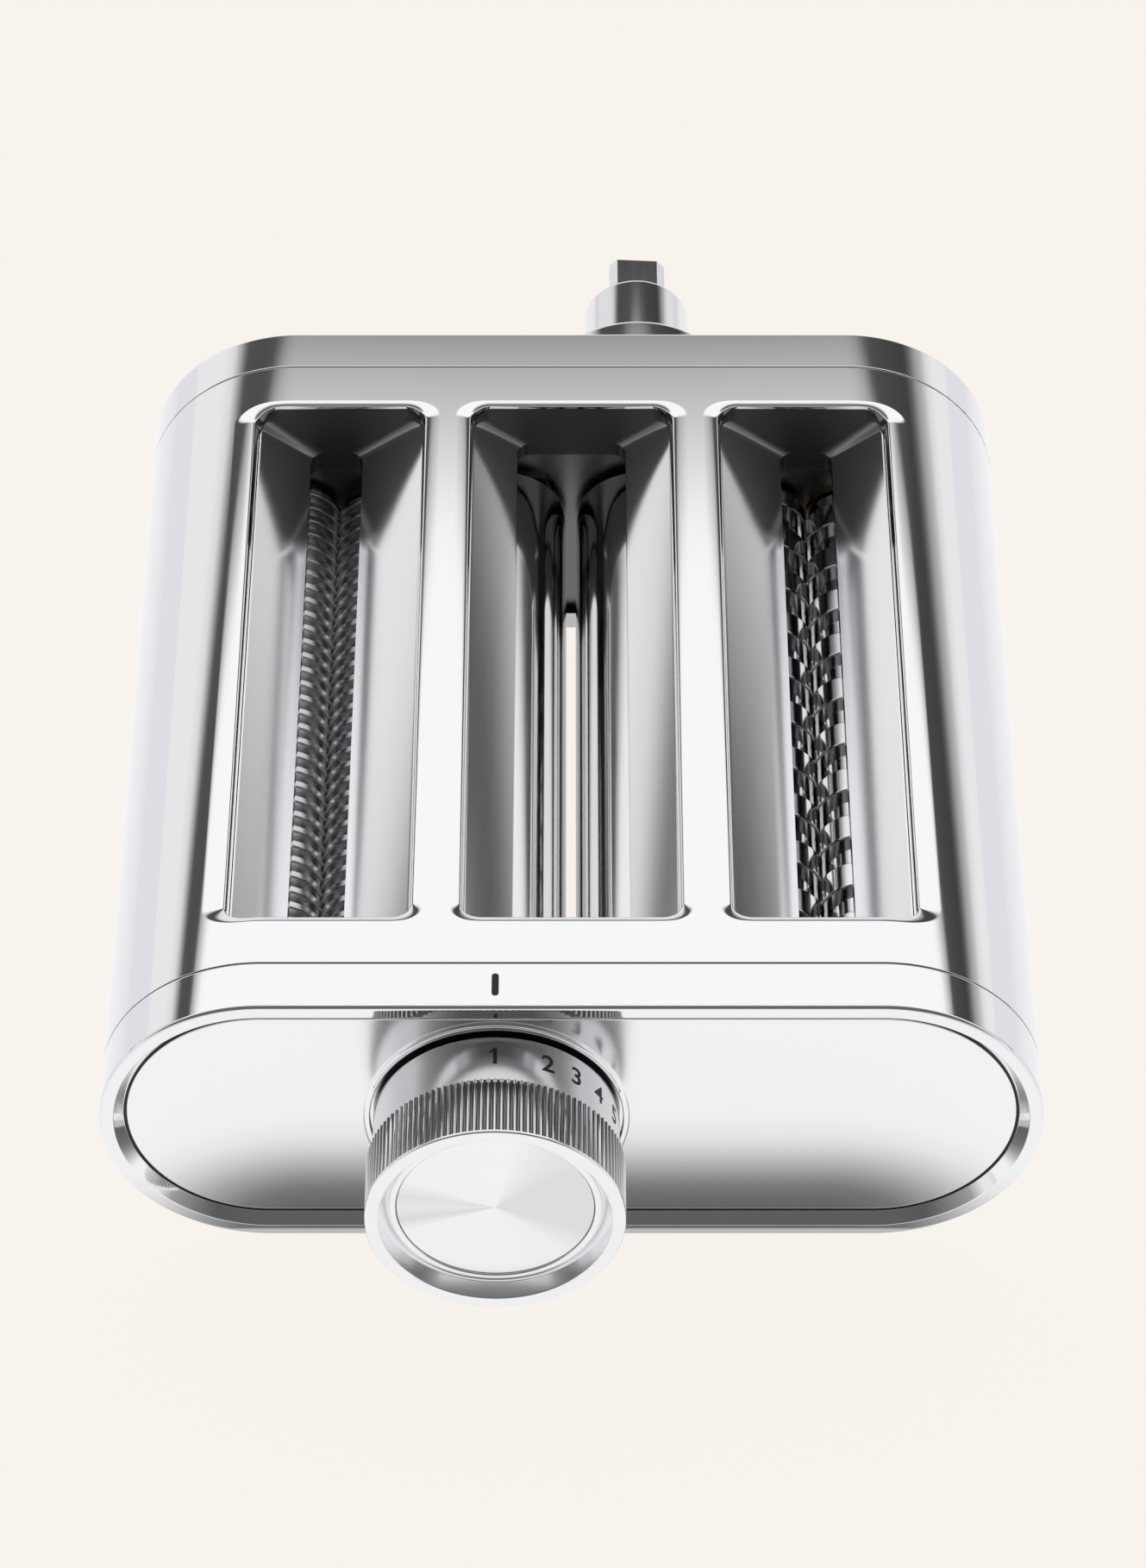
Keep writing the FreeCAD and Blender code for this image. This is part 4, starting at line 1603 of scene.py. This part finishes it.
    def figure(self, text: str) -> Skin:
        """A number as a flat mesh.

        Args:
            text: The number.

        Returns:
            The mesh, upright along y.
        """
        curve = bpy.data.curves.new("mark_" + text, "FONT")
        curve.body = text
        curve.size = self.mark_height * MM / self.cap_share
        curve.align_x = "CENTER"
        curve.align_y = "CENTER"
        curve.resolution_u = 6
        curve.offset = self.mark_weight * MM
        flat = bpy.data.objects.new("mark_" + text, curve)
        bpy.context.scene.collection.objects.link(flat)
        graph = bpy.context.evaluated_depsgraph_get()
        mesh = bpy.data.meshes.new_from_object(flat.evaluated_get(graph))
        bpy.data.objects.remove(flat)
        skin = Skin()
        skin.bm.from_mesh(mesh)
        if text == "1":
            top = max(vert.co.y for vert in skin.bm.verts) / MM
            width, drop, thick = self.flag
            flag = ((0.0, top), (-width, top - drop), (-width, top - drop - thick), (0.0, top - thick))
            skin.fill(skin.ring(Vector((x, y, 0.0)) * MM for x, y in flag))
        return skin

    def numbers(self) -> None:
        """Wraps the dark numbers round the band, one mesh for each."""
        radius = self.band + self.mark_lift
        for text, turn in self.marks:
            skin = self.figure(text)
            for step in range(-8, 9):
                skin.cut(step * self.cut * MM, 1e-7)
            for vert in skin.bm.verts:
                swing = math.radians(turn) + vert.co.x / (radius * MM)
                x, z = DIAL_X + math.sin(swing) * radius, AXIS + math.cos(swing) * radius
                vert.co = Vector((x * MM, self.mark_place * MM + vert.co.y, z * MM))
            dress(skin.piece("dial_mark_" + text, INK_AND_PAINTED_SHADE), Body.KNOB, Slot.POLISHED)

    def build(self) -> None:
        """Builds and dresses the dial."""
        self.bezel()
        self.grip()
        self.knob()
        self.face_disc()
        self.numbers()


@dataclass
class IndexMark:
    """The dark dash on the front cap that the dial is read against.

    Attributes:
        centre: Station of its middle.
        length: Its length along y.
        width: Its width.
        sunk: Depth below the top of the housing.
        steps: Segments in each rounded end.
    """

    centre: float = -120.6
    length: float = 6.4
    width: float = 1.5
    sunk: float = 0.002
    steps: int = 16

    def build(self) -> None:
        """Builds and dresses the dash."""
        radius = self.width / 2
        half = self.length / 2 - radius
        high = 2 * HOUSING.radius - self.sunk
        points = []
        for end, start in ((half, 0.0), (-half, 180.0)):
            for step in range(self.steps + 1):
                turn = math.radians(start + 180.0 * step / self.steps)
                x, y = DIAL_X + math.cos(turn) * radius, self.centre + end + math.sin(turn) * radius
                points.append(Vector((x, y, high)) * MM)
        skin = Skin()
        skin.fill(skin.ring(points))
        dress(skin.piece("index_mark", INK_AND_PAINTED_SHADE), Body.HOUSING, Slot.POLISHED)


@dataclass
class Hub:
    """The boss and the shank of the mixer hub at the back.

    Attributes:
        boss_front: Front of the boss, inside the cap.
        boss_back: Back of the boss.
        shank_back: Back of the shank.
        boss: Radius of the boss.
        shank: Radius of the shank.
        bore: Radius of the shank's bore.
        bore_depth: How deep the bore is lined.
    """

    boss_front: float = 87.4
    boss_back: float = 109.95
    shank_back: float = 139.95
    boss: float = 24.3
    shank: float = 12.7
    bore: float = 8.1
    bore_depth: float = 4.0

    def build(self) -> None:
        """Builds and dresses the boss and the shank."""
        boss = rounded([
            Corner(self.boss, self.boss_front),
            Corner(self.boss, self.boss_back, 1.2),
            Corner(self.shank + 0.05, self.boss_back),
        ])
        dress(turned("hub_boss", DRIVE, HUB_X, boss, 144), Body.HOUSING, Slot.DRIVE, "hub_flange")
        shank = rounded([
            Corner(self.shank, self.boss_back - 0.5),
            Corner(self.shank, self.shank_back, 1.0),
            Corner(self.bore, self.shank_back),
            Corner(self.bore, self.shank_back - self.bore_depth),
        ])
        dress(turned("hub_barrel", DRIVE, HUB_X, shank, 144), Body.HOUSING, Slot.DRIVE, "hub_shank")


@dataclass
class Studio:
    """Camera, floor and light.

    Attributes:
        place: The camera's place in metres.
        tilt: Its turn up from looking straight down, in degrees.
        lens: Focal length for a sensor 36 mm wide.
        shift: Shift of the picture to the side.
        backdrop: The floor's colour as the camera sees it.
        floor_colour: Its colour under light.
        floor_drop: Depth of the floor below the underside, in metres.
        glow: Share of its look that is set and not lit.
        side_tint: Its colour far to the sides, as steel shows it.
        tint_span: Where that tint starts and is full, in metres from the middle.
        foot_centre: Middle of the patch of painted shadow along y.
        foot_half: Half width and half length of the patch.
        foot_fade: How much slower its painted shadow fades to the sides.
        painted_shadow_reach: How far the painted shadow reaches.
        painted_shadow_edge_span: Where the lighter edge of the patch ends and is full, in metres.
        painted_shadow_edge_glow: Grey of that lighter edge of the painted shadow.
        painted_shadow_stops: Grey of the painted shadow from the patch's edge outwards.
        bank_stops: Grey of the studio's right half by height.
        left_stops: Grey of its left half by height.
        front_stops: Grey of its front by height.
        bank_curve: How far the bands bow up to the sides.
        side_blend: Half width of the change from right to left.
        front_blend: Half width of the change from front to back.
    """

    place: tuple[float, float, float] = (0.0, -0.9146, 0.8881)
    tilt: float = 46.222
    lens: float = 126.80
    shift: float = 0.00094
    backdrop: Colour = (1.0, 0.947, 0.899)
    floor_colour: Colour = (0.86, 0.855, 0.86)
    floor_drop: float = 0.0005
    glow: float = 0.92
    side_tint: Colour = (0.825, 0.817, 0.87)
    tint_span: Plan = (0.11, 0.22)
    foot_centre: float = -17.85
    foot_half: Plan = (54.0, 109.5)
    foot_fade: float = 0.55
    painted_shadow_reach: float = 40.0
    painted_shadow_edge_span: Plan = (0.0028, 0.0020)
    painted_shadow_edge_glow: float = 0.55
    painted_shadow_stops: tuple[Plan, ...] = (
        (0.0, 0.10), (0.075, 0.11), (0.25, 0.18), (0.37, 0.38), (0.525, 0.75), (0.61, 0.92), (0.75, 1.0),
    )
    bank_stops: tuple[Plan, ...] = (
        (0.0, 0.85), (0.69, 0.85), (0.715, 0.74), (0.735, 0.47), (0.75, 0.34), (0.765, 0.12), (0.775, 0.05),
        (0.8137, 0.07), (0.8153, 0.36), (0.8225, 0.66), (0.829, 1.0), (0.925, 1.0), (0.965, 0.25), (1.0, 0.15),
    )
    left_stops: tuple[Plan, ...] = (
        (0.0, 0.85), (0.74, 0.85), (0.765, 0.74), (0.778, 0.36), (0.787, 0.08), (0.8137, 0.07),
        (0.8153, 0.36), (0.8225, 0.66), (0.829, 1.0), (0.925, 1.0), (0.965, 0.25), (1.0, 0.15),
    )
    front_stops: tuple[Plan, ...] = ((0.0, 0.85), (0.545, 0.85), (0.62, 0.35), (0.80, 0.10), (1.0, 0.15))
    bank_curve: float = 0.6
    side_blend: float = 0.3
    front_blend: float = 0.25

    def camera(self) -> None:
        """Places the camera of the photograph."""
        data = bpy.data.cameras.new("camera")
        data.lens = self.lens
        data.sensor_width = 36.0
        data.sensor_fit = "AUTO"
        data.shift_x = self.shift
        data.clip_start, data.clip_end = 0.05, 20.0
        made = bpy.data.objects.new("camera", data)
        made.location = self.place
        made.rotation_euler = (math.radians(self.tilt), 0.0, 0.0)
        bpy.context.scene.collection.objects.link(made)
        bpy.context.scene.camera = made

    def floor(self) -> None:
        """Lays a pale floor that shows the camera its own colour and steel a white with painted shadow round
        the object.
        """
        bm = bmesh.new()
        bmesh.ops.create_grid(bm, x_segments=8, y_segments=8, size=6.0)
        mesh = bpy.data.meshes.new("floor")
        bm.to_mesh(mesh)
        bm.free()
        made = bpy.data.materials.new("floor_look")
        made.use_nodes = True
        graph = Graph(made.node_tree)
        shader = graph.nodes["Principled BSDF"]
        shader.inputs["Base Color"].default_value = opaque(self.floor_colour)
        shader.inputs["Roughness"].default_value = 1.0
        shader.inputs["Specular IOR Level"].default_value = 0.0
        path = graph.add("LightPath", {})
        # Painted shadow: glossy rays see the floor with a shaded patch round the object's footprint.
        tint = graph.mix(path["Is Glossy Ray"], opaque(self.backdrop), self.reflected_floor(graph))
        glow = graph.add("Emission", {"Color": tint})["Emission"]
        seen = graph.math("MAXIMUM", path["Is Camera Ray"], path["Is Glossy Ray"])
        share = graph.math("MULTIPLY", seen, self.glow)
        mixed = graph.add("MixShader", {"Fac": share, 1: shader.outputs["BSDF"], 2: glow})["Shader"]
        graph.feed(graph.nodes["Material Output"].inputs["Surface"], mixed)
        mesh.materials.append(made)
        floor = bpy.data.objects.new("floor", mesh)
        floor.location = (0.0, 0.0, -self.floor_drop)
        bpy.context.scene.collection.objects.link(floor)

    def reflected_floor(self, graph: Graph) -> bpy.types.NodeSocket:
        """The floor as steel shows it: white, cool to the sides, with painted shadow close to the object.

        Args:
            graph: Nodes of the floor's material.

        Returns:
            The colour's socket.
        """
        middle = (0.0, self.foot_centre * MM, 0.0)
        half = (self.foot_half[0] * MM, self.foot_half[1] * MM, 1.0)
        size = graph.vector("ABSOLUTE", graph.vector("SUBTRACT", graph.coords("Object"), middle))
        outside = graph.vector("MAXIMUM", graph.vector("SUBTRACT", size, half), (0.0, 0.0, 0.0))
        away = graph.vector("LENGTH", graph.vector("MULTIPLY", outside, (self.foot_fade, 1.0, 1.0)))
        # Painted shadow: darkest at the footprint and fading outwards, lighter close to the footprint along y.
        shade = graph.ramp(graph.span(away, 0.0, self.painted_shadow_reach * MM), self.painted_shadow_stops)
        edge = graph.span(graph.split(outside)["Y"], *self.painted_shadow_edge_span, last=self.painted_shadow_edge_glow)
        lighter = graph.mix(1.0, shade, edge, "LIGHTEN")
        cool = graph.span(graph.split(size)["X"], *self.tint_span)
        sides = graph.mix(cool, grey(1.0), opaque(self.side_tint))
        return graph.mix(1.0, lighter, sides, "MULTIPLY")

    def world(self) -> None:
        """Sets a studio round the object: a bright bank high up, darker walls, a light front."""
        world = bpy.data.worlds.new("studio")
        bpy.context.scene.world = world
        world.use_nodes = True
        graph = Graph(world.node_tree)
        way = graph.split(graph.coords("Generated"))
        squared = graph.math("MULTIPLY", way["X"], way["X"])
        bowed = graph.math("MULTIPLY_ADD", squared, self.bank_curve, way["Z"])
        banked = graph.span(bowed, -1.0, 1.0)
        right = graph.ramp(banked, self.bank_stops)
        left = graph.ramp(banked, self.left_stops)
        front = graph.ramp(graph.span(way["Z"], -1.0, 1.0), self.front_stops)
        across = graph.span(way["X"], self.side_blend, -self.side_blend, ease="SMOOTHSTEP")
        along = graph.span(way["Y"], -self.front_blend, self.front_blend, ease="SMOOTHSTEP")
        colour = graph.mix(along, front, graph.mix(across, right, left))
        background = graph.nodes["Background"].inputs
        graph.feed(background["Color"], colour)
        background["Strength"].default_value = 1.0

    def build(self) -> None:
        """Builds the stage."""
        bpy.context.scene.view_settings.view_transform = "Standard"
        self.camera()
        self.floor()
        self.world()


def finish_cad() -> None:
    """Gives every CAD node that still shows the finish of its slot."""
    slots = {entry["node"]: Slot(entry["material_slot"]) for entry in frame["record"]["subparts"]}
    for name, node in frame["nodes"].items():
        finish = CAD_FINISHES[slots[name]]
        for holder in node.material_slots:
            holder.link = "OBJECT"
            holder.material = finish.material()


def main() -> None:
    """Builds the object's looks and its stage."""
    logging.basicConfig(level=logging.INFO, format="%(name)s: %(message)s")
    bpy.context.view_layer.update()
    Sleeve().build()
    EndCap("front_cap", "front_fascia", HOUSING.body_front, HOUSING.sleeve_front, DIAL_X, 11.0).build()
    EndCap("back_cap", "back_fascia", HOUSING.body_back, HOUSING.sleeve_back, HUB_X, 12.0).build()
    for feed in FEEDS:
        Hopper(feed).build()
    Roller("drive_roller", Body.DRIVE_LINE, 15.75).build()
    Roller("adjustable_roller", Body.SLIDING_ROLLER, -16.0).build()
    for node, body, x, pitch, starts_low, finish in (
        ("fine_inner_cutter", Body.FINE_INNER, -45.2, 4.7, False, FINE_CUTTER),
        ("fine_outer_cutter", Body.FINE_OUTER, -63.6, 4.7, True, FINE_CUTTER),
        ("wide_inner_cutter", Body.WIDE_INNER, 45.2, 14.9, False, CUTTER),
        ("wide_outer_cutter", Body.WIDE_OUTER, 63.6, 14.9, True, CUTTER),
    ):
        RingCutter(node, body, x, pitch, starts_low, finish).build()
    Dial().build()
    IndexMark().build()
    Hub().build()
    finish_cad()
    Studio().build()


if __name__ == "__main__":
    main()
